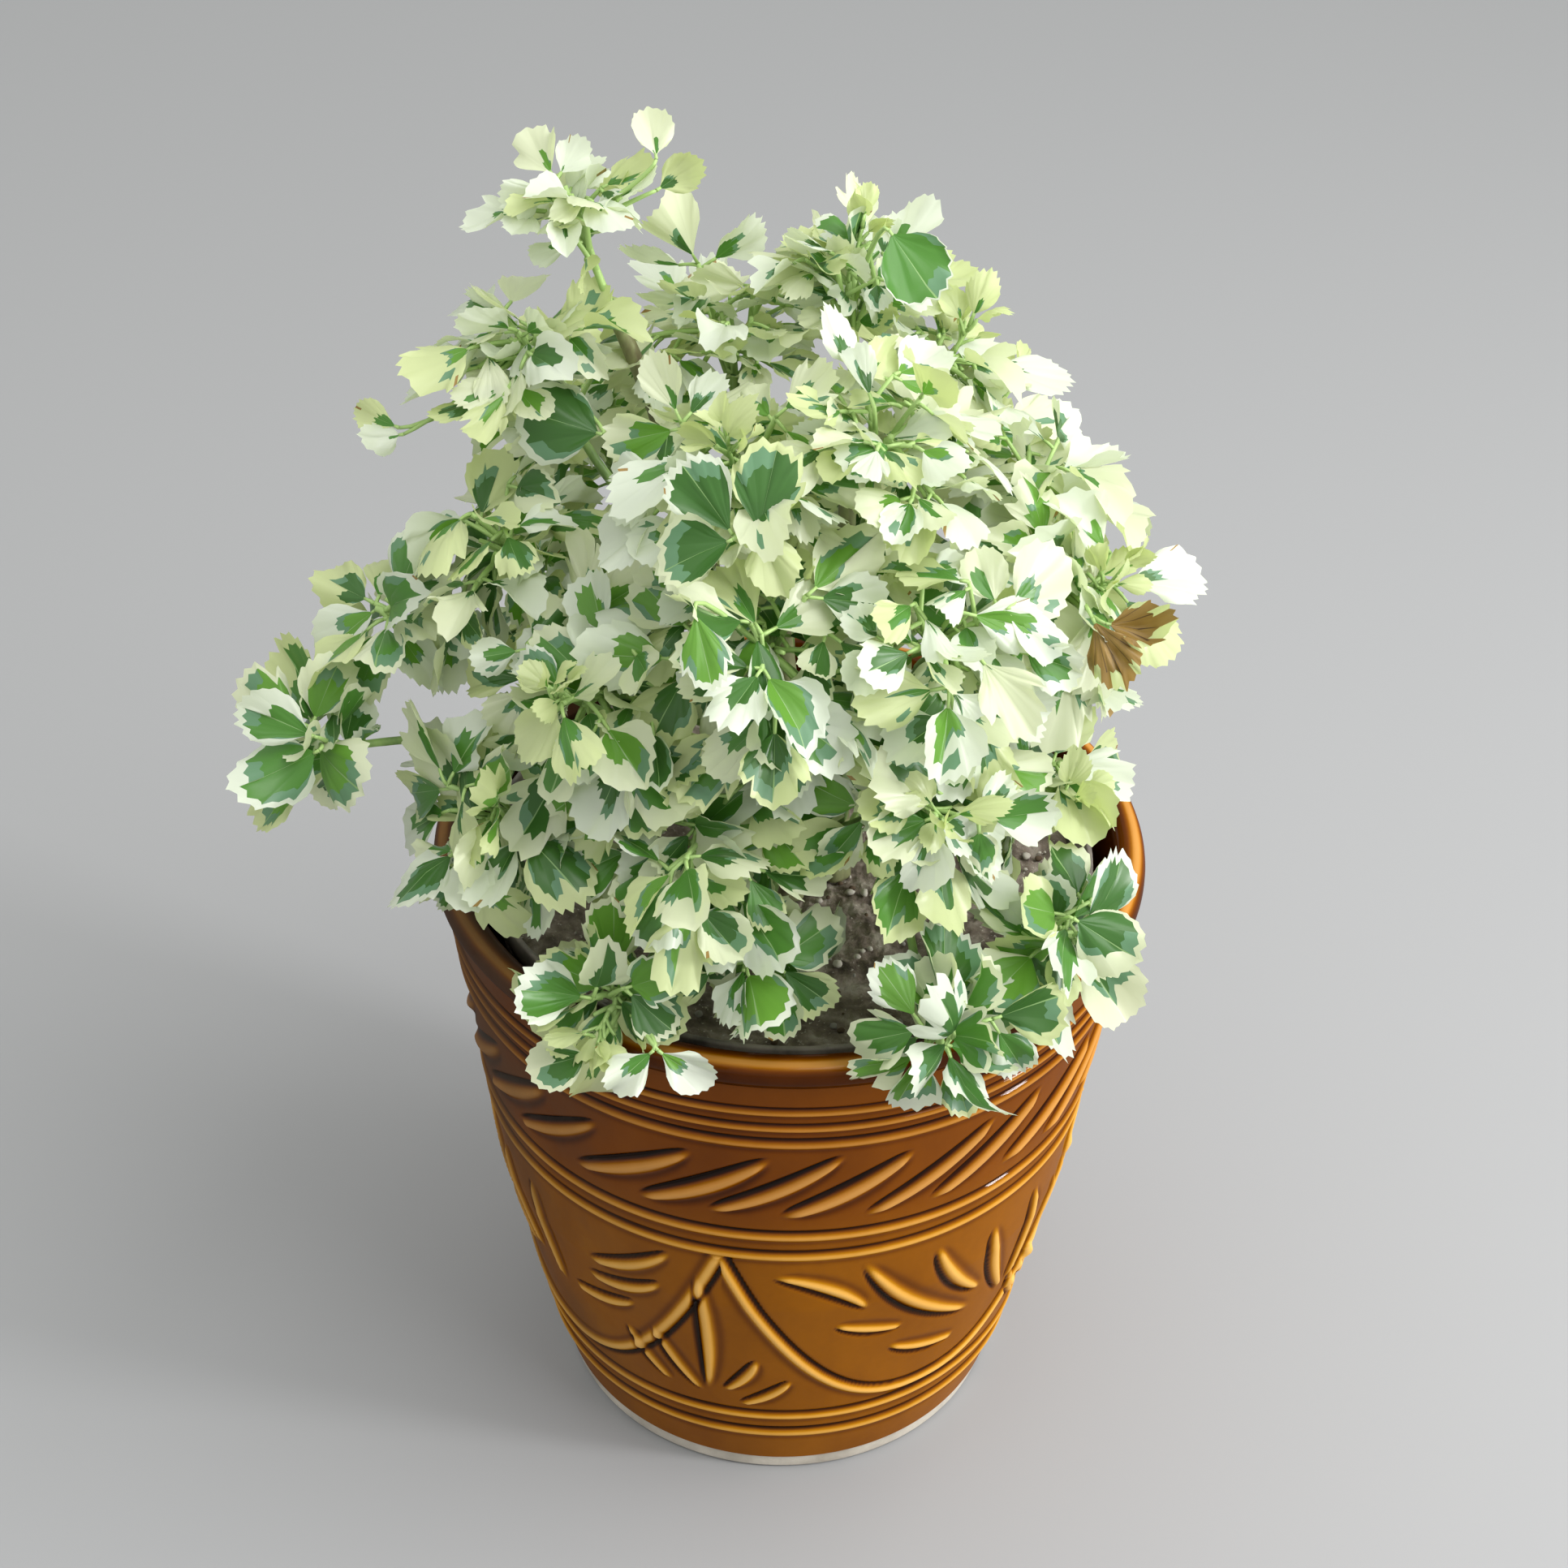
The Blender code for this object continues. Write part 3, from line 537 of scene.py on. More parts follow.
MEETING_FAN = (
    ((-4.2, 86), (-3.8, 37), 1.0, 2.5), ((-15.2, 59), (-6.5, 35.5), -1.4, 2.2),
    ((-22, 54), (-13.6, 36), -1.4, 2.1), ((6.4, 53), (-0.4, 38), 1.2, 2.0),
    ((14, 44), (2, 32.5), 1.2, 2.0),
)
SWAG_COUNT = 4
SWAG_MEETS_AT = -11.0
SWAG_LOW, SWAG_RISE, SWAG_POWER, SWAG_TOP = 0.033, 0.062, 2.6, 0.0958
SWAG_LINE_WIDTH = 0.0021
CUT_DEPTH = 0.0009
CUT_MARGIN = 0.006

# The thrown lines, each a height and a half width
THROWN_LINES = (
    (0.1484, 0.0013), (0.1430, 0.0013), (0.1375, 0.0017), (0.1042, 0.0018),
    (0.0968, 0.0018), (0.0272, 0.0019), (0.0190, 0.0021),
)
THROWN_DEPTH = 0.0007

# The band of slanted cuts: their number, heights, first angle and slant in degrees, and sizes
BAND_CUT_COUNT = 27
BAND_CUT_LOW, BAND_CUT_HIGH = 0.1110, 0.1322
BAND_CUT_FIRST, BAND_CUT_SLANT = -13, 22.5
BAND_CUT_BEND, BAND_CUT_WIDTH, BAND_CUT_DEPTH = -0.0013, 0.0028, 0.0012


def pot_relief(angle, height):
    """How far the carving stands from the wall, in metres, at each angle and height.

    Thrown lines ring the wall. Between them runs a band of slanted leaf cuts, and below it
    four swags, whose line falls from a meeting point as 33 + 62 |x| ^ 2.6 millimetres, x
    running from -1 to 1 across the swag. Leaf cuts fill each swag and each gap below.
    """
    wobble = 0.00035 * np.sin(2 * angle + 0.8) + 0.0002 * np.sin(5 * angle + 2.1)
    relief = np.zeros_like(height)
    for middle, width in THROWN_LINES:
        relief += ring_line(height, middle, wobble, width)
    rng = np.random.default_rng(CARVING_SEED)
    for number in range(BAND_CUT_COUNT):
        lean, low, high, wide = rng.uniform(-1, 1, 4)
        at = 360 / BAND_CUT_COUNT * number + BAND_CUT_FIRST + 1.2 * lean
        start = (at, BAND_CUT_LOW + 0.0014 * low)
        end = (at + BAND_CUT_SLANT + lean, BAND_CUT_HIGH + 0.0016 * high)
        width = BAND_CUT_WIDTH + 0.0003 * wide
        cut_stroke(relief, angle, height, start, end, BAND_CUT_BEND, width, BAND_CUT_DEPTH)
    swag_width = 360 / SWAG_COUNT
    for number in range(SWAG_COUNT):
        meets = SWAG_MEETS_AT + swag_width * number
        for (a0, z0), (a1, z1), bend, width in SWAG_SPRAYS[number % 2] + MEETING_FAN:
            jog = rng.uniform(-1, 1, 3)
            start, end = (meets + a0 + jog[0], z0 * MM), (meets + a1 + jog[1], z1 * MM)
            cut_stroke(relief, angle, height, start, end, bend * MM, width * MM, CUT_DEPTH,
                       -1.0 if z0 > z1 else 1.0)
    across = (np.degrees(angle) - SWAG_MEETS_AT) / swag_width
    share = across % 1.0 * 2 - 1
    hand = 1 - 2 * (np.floor(across) % 2)
    line = SWAG_LOW + SWAG_RISE * np.abs(share) ** SWAG_POWER
    run = math.radians(swag_width) * wall_radius(line)
    slope = SWAG_RISE * SWAG_POWER * np.abs(share) ** (SWAG_POWER - 1) * 2 / run
    from_line = hand * (height - line) / np.sqrt(1 + slope ** 2)
    relief += CUT_DEPTH * bead_and_groove(from_line / SWAG_LINE_WIDTH) * (height < SWAG_TOP)
    return relief


def glaze_finish(settings):
    """Amber glaze: thin and pale on raised edges, pooled and near black in the cuts.

    Below the lip it is painted darker, as shade under the foliage. On the left it is painted
    darker as shade, and carries dull, dark dust that adds to that shade.
    """
    finish = Finish("amber_glaze", Coat_Roughness=0.03, IOR=1.5, Specular_IOR_Level=0.0)
    relief = finish.attribute("relief")
    cloud = finish.noise(34.0, 5.0, (1.0, 1.0, 0.5))
    fine = finish.noise(420.0, 3.0)
    tone = (relief + (cloud - 0.5) * 0.24 + (fine - 0.5) * 0.03).clamped()
    wall, ridge = np.array(settings.glaze_colour), np.array(settings.ridge_colour)
    colour = finish.ramp(tone, (
        (0.0, settings.pooled_colour), (0.22, wall * (0.20, 0.15, 0.3)),
        (0.38, wall * (0.62, 0.55, 0.8)), (0.50, wall), (0.62, wall * (1.5, 1.9, 4.0)),
        (0.76, ridge), (1.0, ridge * (1.25, 1.45, 2.4))))
    # Painted shade: the upper wall and the lip are multiplied darker and redder, as under the
    # foliage.
    high = finish.step(finish.part("Z"), 0.088, 0.118)
    colour = finish.mix(high * 0.9, colour, GLAZE_TOP_SHADE_TINT, "MULTIPLY")
    # Painted shade: the left side is multiplied darker, and the dark dust that lies only there
    # darkens it further.
    shaded_left = finish.step(0.0 - finish.part("X"), 0.012, 0.075)
    dust = finish.step(finish.noise(21.0, 6.0), 0.36, 0.62) * shaded_left
    colour = finish.mix(shaded_left * 0.62, colour, GLAZE_LEFT_SHADE_TINT, "MULTIPLY")
    colour = finish.mix(dust * 0.55, colour, GLAZE_DUST_AND_SHADE)
    finish.set("Base Color", colour)
    finish.set("Roughness", (0.12 + dust * 0.3 + (fine - 0.5) * 0.05).clamped())
    finish.set("Coat Weight", (0.22 - dust * 0.16).clamped())
    finish.bump(cloud * 0.7 + fine * 0.08, 0.25, 0.0006)
    return finish.material


def clay_finish():
    """Bare pale clay of the foot: a sandy grain with grey-brown scuffs."""
    finish = Finish("bare_clay")
    grain = finish.noise(900.0, 3.0)
    scuff = finish.noise(60.0, 5.0)
    pale = finish.ramp(scuff, ((0.3, CLAY_SCUFF), (0.62, CLAY_PALE)))
    finish.set("Base Color", finish.mix(grain * 0.35, pale, CLAY_GRAIN))
    finish.set("Roughness", (0.82 + (grain - 0.5) * 0.2).clamped())
    finish.bump(grain, 0.4, 0.0003)
    return finish.material


def mark_relief(piece, values):
    """Stores a tone for the glaze at each point: how raised it is, from 0 in a deep cut to 1 on a
    ridge, and on the lip a painted highlight.
    """
    layer = piece.data.attributes.new("relief", "FLOAT", "POINT")
    layer.data.foreach_set("value", np.ascontiguousarray(values, np.float32).ravel())


def wall_band(name, low, high, columns, rows, material):
    """A band of the pot's outside: a turned wall plus the carving, on a grid."""
    height = np.linspace(low, high, rows)[:, None]
    angle, height = np.broadcast_arrays(round_the_axis(columns), height)
    relief = pot_relief(angle, height)
    fade_in = smooth(height, BAND_LOW, BAND_LOW + BAND_FADE)
    fade_out = 1 - smooth(height, BAND_HIGH - BAND_FADE, BAND_HIGH)
    points = ring_points(wall_radius(height) + relief * (fade_in * fade_out), angle, height)
    piece = new_piece(name, points.reshape(-1, 3), grid_faces(rows, columns, True), [material])
    tone = PLAIN_TONE + np.where(relief > 0, 0.48, 0.62) * relief / CUT_DEPTH
    mark_relief(piece, np.clip(tone, 0, 1))
    return piece


def turned(name, profile, columns, material):
    """A surface of revolution from a profile of radii and heights, closed where it has a pole."""
    radius, height = (np.array(values)[:, None] for values in zip(*profile))
    points = ring_points(radius, round_the_axis(columns), height).reshape(-1, 3)
    poles = [profile[end][0] <= POLE_RADIUS for end in (0, -1)]
    return new_piece(name, points, closed_faces(len(profile), columns, *poles), [material])


def arc(start, control, end, steps):
    """Points of the quadratic curve that leaves start towards control and ends at end."""
    t = np.linspace(0.0, 1.0, steps + 1)[:, None]
    return (1 - t) ** 2 * start + 2 * t * (1 - t) * control + t ** 2 * end


def round_corner(start, corner, end, steps):
    """The same curve in a profile's radii and heights, as a list."""
    return arc(*np.array((start, corner, end)), steps).tolist()


def point_on(path, fraction):
    """The point that lies the given fraction of the steps along a path."""
    place = fraction * (len(path) - 1)
    step = min(int(place), len(path) - 2)
    return path[step] + (path[step + 1] - path[step]) * (place - step)


def stem_path(foot, tip):
    """A stem leaves the soil upright and leans further out as it rises."""
    low = np.array((foot[0] * MM, foot[1] * MM, SOIL_LEVEL + GAP))
    high = np.array(tip) * MM
    return low, np.array((low[0], low[1], (low[2] + high[2]) / 2)), high


def bough_path(stem, centre, reach, arch, taken):
    """The curve of a bough, from its stem's side to its mass's inner edge, as in the solids.

    It leaves at the free level nearest to the one from which it would rise evenly.
    """
    lowest, highest = stem[0, 2] + BOUGH_ABOVE_FOOT, stem[-1, 2] - BOUGH_BELOW_TIP
    spread = np.hypot(*(centre - stem[STEM_STEPS // 2])[:2])
    wanted = min(max(centre[2] - BOUGH_SLOPE * spread - BOUGH_DROP * reach, lowest), highest)
    levels = np.arange(lowest, highest, MM)
    free = [z for z in levels if all(abs(z - other) >= BOUGH_SPACING for other in taken)]
    level = min(free, key=lambda z: abs(z - wanted))
    taken.append(level)
    fraction = np.interp(level, stem[:, 2], np.linspace(0.0, 1.0, len(stem)))
    here = point_on(stem, fraction)
    way = centre - here
    out = unit(np.array((way[0], way[1], 0.0)))
    rise = unit(out + BOUGH_RISE * UP)
    radius = STEM_RADII[0] + (STEM_RADII[1] - STEM_RADII[0]) * fraction
    start = here + out * radius * 0.5
    end = centre - unit(way) * reach * MASS_EDGE
    length = np.linalg.norm(end - start)
    return start, start + rise * length * BOUGH_BELLY + UP * arch * MM, end


class Crown:
    """Each mass's own space, and the limbs and the pot that foliage keeps clear of."""

    def __init__(self, centres, reaches, limbs):
        self.centres = centres
        self.reaches = reaches
        self.starts = np.concatenate([path[:-1] for path, _ in limbs])
        self.ways = np.concatenate([np.diff(path, axis=0) for path, _ in limbs])
        self.radii = np.concatenate([taper(*radii, len(path) - 1)[:-1] for path, radii in limbs])

    def in_space(self, points, index, slack):
        """Whether the points lie in a mass's space, or past its faces by no more than a slack.

        A space ends where the squares of the distances to two masses' middles, each less the
        square of that mass's reach, are the same.
        """
        squares = ((points[:, None] - self.centres) ** 2).sum(-1) - self.reaches ** 2
        apart = np.linalg.norm(self.centres - self.centres[index], axis=1)
        others = np.arange(len(apart)) != index
        inside = (squares[:, others] - squares[:, [index]]) / (2 * apart[others])
        return inside.min() > GAP - slack

    def clear_of_limbs(self, points):
        """Whether the points keep off every straight piece of every limb."""
        offsets = points[:, None] - self.starts
        along = (offsets * self.ways).sum(-1) / (self.ways ** 2).sum(-1)
        nearest = np.clip(along, 0, 1)[..., None] * self.ways
        apart = np.linalg.norm(offsets - nearest, axis=-1) - self.radii
        return apart.min() > LIMB_CLEARANCE


def in_pot(points, margin):
    """Whether each point is in the pot's wall, with a margin, or in the soil."""
    ring = np.hypot(points[..., 0], points[..., 1])
    height = points[..., 2]
    lip = np.where(height > POT_HEIGHT - LIP_DEPTH, RIM_RADIUS, 0)
    outside = np.maximum(wall_radius(height), lip) + margin
    in_wall = (ring > LINER_RIM_RADIUS - LINER_LIP) & (ring < outside)
    in_wall &= height < POT_HEIGHT + margin
    in_soil = (ring <= LINER_RIM_RADIUS) & (height < SOIL_LEVEL + 2 * margin)
    return in_wall | in_soil


def even_direction(number, count, turn):
    """One of count directions spread evenly over a sphere along a golden spiral."""
    height = 1 - (2 * number + 1) / count
    ring = math.sqrt(1 - height * height)
    angle = GOLDEN_ANGLE * number + turn
    return np.array((ring * math.cos(angle), ring * math.sin(angle), height))


def tubes(paths, radii, sides, relief=None):
    """Points and quads of tubes along many paths of equal point counts.

    Each ring is square to its path, and the ends are closed. radii has one radius for each
    path and point, and relief, where given, turns those into a radius for each side too.
    """
    paths, radii = np.asarray(paths), np.asarray(radii)
    count, steps = paths.shape[:2]
    tangents = unit(np.gradient(paths, axis=1))
    mean = unit(paths[:, -1] - paths[:, 0])
    side = np.cross(mean, (0.31, 0.85, 0.42))[:, None]
    side = unit(side - tangents * (side * tangents).sum(-1, keepdims=True))
    other = np.cross(tangents, side)
    angle = np.arange(sides) * 2 * np.pi / sides
    spokes = side[:, :, None] * np.cos(angle)[:, None]
    spokes = spokes + other[:, :, None] * np.sin(angle)[:, None]
    wide = radii[:, :, None] * (np.ones(sides) if relief is None else relief)
    points = paths[:, :, None] + spokes * wide[..., None]
    faces = closed_faces(steps, sides)
    offsets = np.arange(count)[:, None, None] * steps * sides
    return points.reshape(-1, 3), (faces + offsets).reshape(-1, 4)


def taper(first, last, steps, swell=0.0):
    """Radii that fall evenly from first to last, the first few swollen like a leaf's base."""
    t = np.linspace(0, 1, steps + 1)
    return first + (last - first) * t + swell * np.exp(-(t / 0.05) ** 2)


def curve_tubes(curves, ends, grid, swell=0.0, relief=None):
    """Tubes along many quadratic curves, each tapered between its two end radii."""
    steps, sides = grid
    paths = [arc(*curve, steps) for curve in curves]
    radii = [taper(*pair, steps, swell) for pair in ends]
    return tubes(paths, radii, sides, relief)


def grow_limbs():
    """The curves of the stems and boughs, and the path that each mass carries on from."""
    stems = {name: stem_path(foot, tip) for name, foot, tip in STEMS}
    coarse = {name: arc(*curve, STEM_STEPS) for name, curve in stems.items()}
    taken = {name: [] for name in stems}
    boughs = {}
    for name, stem, centre, reach, arch, _ in reversed(MASSES[len(STEMS):]):
        middle = np.array(centre) * MM
        boughs[name] = bough_path(coarse[stem], middle, reach * MM, arch, taken[stem])
    carriers = {name: arc(*curve, BOUGH_STEPS) for name, curve in boughs.items()}
    for name, stem, *_ in MASSES[:len(STEMS)]:
        carriers[name] = coarse[stem]
    return stems, boughs, carriers


def spine_path(crown, foot, heading, end, reach):
    """A mass's own stem, aside where a limb is in its way, as in the solids."""
    control = foot + heading * reach * SPINE_RISE
    for shift in SPINE_SHIFTS:
        aim = end + UP * shift * reach
        samples = arc(foot, control, aim, SPINE_SAMPLES)
        if crown.clear_of_limbs(samples[SPINE_FREE_FROM:]):
            break
    return arc(foot, control, aim, SPINE_STEPS)


def grow_twig(crown, index, start, end, slack):
    """A side twig, shortened until it fits its mass's space, as in the solids."""
    for share in TWIG_SHARES:
        samples = start + (end - start) * share * np.linspace(0, 1, TWIG_SAMPLES)[:, None]
        if crown.in_space(samples, index, slack) and crown.clear_of_limbs(samples):
            if not in_pot(samples, TWIG_CLEARANCE).any():
                return samples
    return None


# Leaflets that the photograph shows on their own: mass, place of the leaflet's base and its
# pointing, then its length in millimetres, its greenness, over 1.5 where it is green all over,
# and what else sets it apart
SINGLE_LEAFLETS = (
    ("middle_right", (62, -42, 255), (0.48, -0.53, -0.70), 15, 0.0, {"dry": 1, "curl": 3.0}),
    ("middle_right", (65, -41, 253), (0.94, -0.05, -0.10), 12, 0.0, {"dry": 1, "curl": 3.4}),
    ("top_right", (17.5, 2, 321), (0.60, -0.48, -0.64), 16, 2.0, {"green_tone": "green_mid"}),
    ("middle_front", (-20, -74, 276), (0.25, -0.58, -0.77), 15, 0.90,
     {"green_tone": "green_fresh"}),
    ("high_front", (-13, -60, 285), (-0.59, 0.49, 0.64), 17, 0.95, {"green_tone": "green_deep"}),
    ("high_front", (-8, -60, 285), (0.20, 0.60, 0.77), 18, 0.90, {"green_tone": "green_deep"}),
    ("high_front", (-13, -62, 285), (-0.92, -0.23, -0.31), 15, 0.88,
     {"green_tone": "green_deep"}),
    ("shoulder_left", (-42, -12, 279), (-0.96, 0.16, 0.21), 18, 0.92,
     {"green_tone": "green_deep"}),
    ("far_left_low", (-102, -46, 219), (-0.88, -0.28, -0.37), 19, 0.86, {}),
    ("far_left_low", (-103, -45, 222), (-0.92, 0.24, 0.32), 16, 0.70, {}),
    ("shoulder_left", (-86, -6, 276), (-0.93, 0.23, 0.30), 10, 0.30, {"curl": 1.5}),
    ("shoulder_left", (-85, -7, 275), (-0.99, -0.09, -0.13), 8, 0.05, {"curl": 1.8}),
    ("top_left", (-31, 8, 333), (-0.12, 0.60, 0.79), 11, 0.10, {"curl": 1.4}),
    ("top_left", (-31, 8, 326), (0.81, 0.35, 0.46), 10, 0.25, {"curl": 1.4}),
    ("hanging_left", (-28, -93, 177), (-0.74, -0.41, -0.54), 12, 0.40, {"curl": 1.4}),
    ("hanging_left", (-27, -93, 177), (0.82, -0.35, -0.46), 13, 0.35, {"curl": 1.4}),
    ("hanging_left", (-42, -89, 172), (-0.96, -0.18, -0.24), 13, 0.60, {}),
    ("hanging_right", (61, -68, 195), (0.86, -0.31, -0.41), 16, 0.75, {"curl": 1.5}),
)


class Foliage:
    """Twigs, stalks and leaflets gathered mass by mass, then made in a few arrays."""

    def __init__(self, settings, crown):
        self.settings = settings
        self.crown = crown
        self.twigs = []
        self.stalks = []
        self.leaflets = []
        self.middles = np.empty((0, 3))

    def leaflet(self, start, aim, facing, stalk, length, green, crowded=False, **more):
        """A leaflet on its own stalk, left out where another is in its place already.

        One that may stand crowded isn't left out.
        """
        base = start + aim * stalk
        middle = base + aim * length * 0.55
        if len(self.middles) and not crowded:
            apart = np.linalg.norm(self.middles - middle, axis=1)
            if apart.min() < length * LEAFLET_SPACING:
                return
        self.middles = np.vstack((self.middles, middle))
        facing = unit(facing - aim * facing.dot(aim))
        control = start + aim * stalk * 0.5 + facing * stalk * 0.12
        self.stalks.append((start, control, base + aim * length * 0.03))
        self.leaflets.append({"base": base, "along": aim, "facing": facing, "length": length,
                              "green": green, **more})

    def compound_leaf(self, rng, tip, heading, size, green, pairs):
        """One leaflet at a twig's tip and pairs behind it, in one plane, each a little turned."""
        outward = unit(tip - CROWN_HEART)
        facing = unit(outward * 0.8 + UP * 0.6 + rng.uniform(-0.5, 0.5, 3))
        along = unit(heading - facing * heading.dot(facing) * 0.85 + rng.uniform(-0.1, 0.1, 3))
        facing = unit(facing - along * facing.dot(along))
        side = np.cross(facing, along)
        places = [(rng.uniform(-0.1, 0.1), 0.0, 1.0)]
        for pair in range(pairs):
            for hand in (1, -1):
                angle = rng.uniform(0.95, 1.35) * hand
                back = 0.001 + 0.0095 * pair + 0.0006 * hand
                places.append((angle, back, rng.uniform(0.74, 0.98) * (1 - 0.1 * pair)))
        for number, (angle, back, share) in enumerate(places):
            aim = along * math.cos(angle) + side * math.sin(angle)
            aim = unit(aim + rng.uniform(-0.16, 0.16, 3) - UP * rng.uniform(0.0, 0.22))
            own = facing + rng.uniform(-0.36, 0.36, 3) + aim * rng.uniform(-0.2, 0.3)
            stalk = size * rng.uniform(0.10, 0.26)
            length = size * share * rng.uniform(0.86, 1.08)
            shade = green + rng.normal(0.0, 0.16)
            lobed = number == 0 and rng.random() < 0.45
            self.leaflet(tip - heading * back, aim, own, stalk, length, shade, lobed=lobed)

    def young_leaves(self, rng, tip, heading, size):
        """A tuft of small folded leaflets, still yellowish, at the end of a shoot."""
        for number in range(7):
            aim = unit(even_direction(number, 11, rng.uniform(0, FULL_TURN)) + heading * 0.9)
            start = tip - heading * 0.001 * number
            facing = rng.uniform(-1, 1, 3)
            self.leaflet(start, aim, facing, size * 0.25, size * rng.uniform(0.38, 0.6), 0.02,
                         crowded=True, curl=1.6, cream="cream_yellow")


def grow_foliage(settings):
    """Every mass's spine, the solids' twigs, finer twigs between them, and their leaves."""
    stems, boughs, carriers = grow_limbs()
    centres = np.array([mass[2] for mass in MASSES]) * MM
    reaches = np.array([mass[3] for mass in MASSES]) * MM
    limbs = [(arc(*curve, STEM_STEPS), STEM_RADII) for curve in stems.values()]
    limbs += [(carriers[name], BOUGH_RADII) for name in boughs]
    foliage = Foliage(settings, Crown(centres, reaches, limbs))
    for index, (name, _, _, _, _, green) in enumerate(MASSES):
        grow_mass(foliage, index, carriers[name], green)
    return foliage


def grow_single_leaflets(foliage, rng, name, spine):
    """The leaflets of their own of one mass, each on a thin twig from the mass's stem."""
    for mass, place, pointing, length, green, more in SINGLE_LEAFLETS:
        if mass == name:
            base, way = np.array(place) * MM, unit(np.array(pointing))
            foot = point_on(spine, rng.uniform(0.4, 0.9))
            reach = np.linalg.norm(base - foot)
            control = base - way * reach * 0.14 + UP * reach * 0.04
            foliage.twigs.append((foot, control, base, *SINGLE_TWIG_RADII))
            facing = VIEW_SIDE + rng.uniform(-0.3, 0.3, 3)
            foliage.leaflet(base, way, facing, 0.0008, length * MM, green, crowded=True, **more)


def grow_mass(foliage, index, limb, green):
    """One mass: the twigs of the solids, then finer ones between them, each with its leaves.

    A short stem carries on from the limb's tip. Side twigs leave it for directions spread
    evenly round the mass. The solids' twigs carry side stalks too, the finer twigs do not.
    """
    crown, settings = foliage.crown, foliage.settings
    centre, reach = crown.centres[index], crown.reaches[index]
    size = settings.leaflet_length * np.interp(centre[2], SIZE_HEIGHTS, SIZE_SHARES)
    turn = random.Random(FIRST_SEED + index).uniform(0, 2 * math.pi)
    rng = np.random.default_rng(FIRST_SEED + index)
    outward = unit(centre - CROWN_HEART)
    heading = unit(limb[-1] - limb[-2])
    end = centre + outward * reach * 0.2
    spine = spine_path(crown, limb[-1] + heading * GAP, heading, end, reach)
    foliage.twigs.append((limb[-1] - heading * GAP, spine[1], spine[-1], *SPINE_RADII))
    grow_single_leaflets(foliage, rng, MASSES[index][0], spine)
    for fine, density in enumerate((TWIG_DIRECTIONS, settings.fine_twigs)):
        count = round(density * reach / USUAL_REACH)
        ways = [even_direction(number, count, turn + 2 * fine) for number in range(count)]
        ways = [way for way in ways if way.dot(outward) > INWARD_LIMITS[fine]]
        for number, way in enumerate(ways):
            start = point_on(spine, 0.3 + 0.65 * (number + 0.5) / len(ways))
            share = rng.uniform(0.4, 0.98) if fine else 1.0
            end = centre + way * (reach * share - CAD_LEAF_LENGTH * 0.52)
            twig = grow_twig(crown, index, start, end, FINE_TWIG_SLACK * fine)
            if twig is None:
                continue
            way = unit(twig[-1] - twig[0])
            length = np.linalg.norm(twig[-1] - twig[0])
            control = (twig[0] + twig[-1]) / 2 + UP * 0.1 * length
            foliage.twigs.append((twig[0], control, twig[-1], *TWIG_RADII[fine]))
            own_size = size * rng.uniform(0.86, 1.14)
            # Leaflets on short and inward twigs are greener: inner leaves of the plant are
            # greener, and the green also paints shade deep in the crown.
            shade = green + 0.30 * (1 - share) + 0.10 * (1 - way.dot(outward)) - 0.06
            pairs = 2 if rng.random() < 0.4 else 1
            foliage.compound_leaf(rng, twig[-1], way, own_size, shade, pairs)
            if not fine and length > BRANCHING_LENGTH:
                for hand in (1, -1):
                    branch_off(foliage, rng, index, twig, hand, own_size * 0.88, shade + 0.12)
    if rng.random() < settings.young_share:
        shoot = spine[-1] + outward * reach * 0.35
        foliage.young_leaves(rng, shoot, outward, size)
        foliage.twigs.append((spine[-1], (spine[-1] + shoot) / 2, shoot, *SHOOT_RADII))


def branch_off(foliage, rng, index, twig, hand, size, green):
    """A side stalk halfway up a twig, with a leaf of three at its end."""
    way = unit(twig[-1] - twig[0])
    start = twig[0] + (twig[-1] - twig[0]) * rng.uniform(0.45, 0.7)
    side = unit(np.cross(way, unit(start - CROWN_HEART) + rng.uniform(-0.4, 0.4, 3))) * hand
    heading = unit(way * 0.6 + side)
    end = start + heading * rng.uniform(0.006, 0.012)
    inside = foliage.crown.in_space(np.array((start, end)), index, FINE_TWIG_SLACK)
    if inside and not in_pot(end[None], TWIG_CLEARANCE).any():
        foliage.twigs.append((start, (start + end) / 2 + UP * 0.0006, end, *BRANCH_RADII))
        foliage.compound_leaf(rng, end, heading, size, green, 1)


# A leaflet's rays from its midrib out to one edge, as shares of its half angle, and how far
# each ends past or short of the even outline: veins end in teeth, with notches between
HALF_RAYS = (0.012, 0.10, 0.19, 0.28, 0.350, 0.374, 0.45, 0.53, 0.61, 0.690, 0.714, 0.79, 0.86,
             0.93, 1.0)
HALF_TEETH = (1.0, -0.9, 0.7, -0.9, 0.9, 0.9, -0.9, 0.7, -0.9, 0.9, 0.9, -0.8, 0.6, -0.4, 0.0)
VEIN_WIDTH = 0.024
VEIN_PLACES = np.array((-1.0, -0.702, -0.362, 0.0, 0.362, 0.702, 1.0))
RAYS = np.array([-share for share in reversed(HALF_RAYS)] + list(HALF_RAYS))
TEETH = np.array(list(reversed(HALF_TEETH)) + list(HALF_TEETH))

# The narrow sectors that are veins, the one among them that is the midrib, and the number of
# the area between veins that each ray lies in
VEIN_SECTORS = np.isclose(np.diff(RAYS), VEIN_WIDTH, atol=1e-3)
MIDRIB = VEIN_SECTORS & (np.abs(RAYS[:-1] + RAYS[1:]) < 0.01)
AREAS = np.concatenate(([0], np.cumsum(VEIN_SECTORS)))

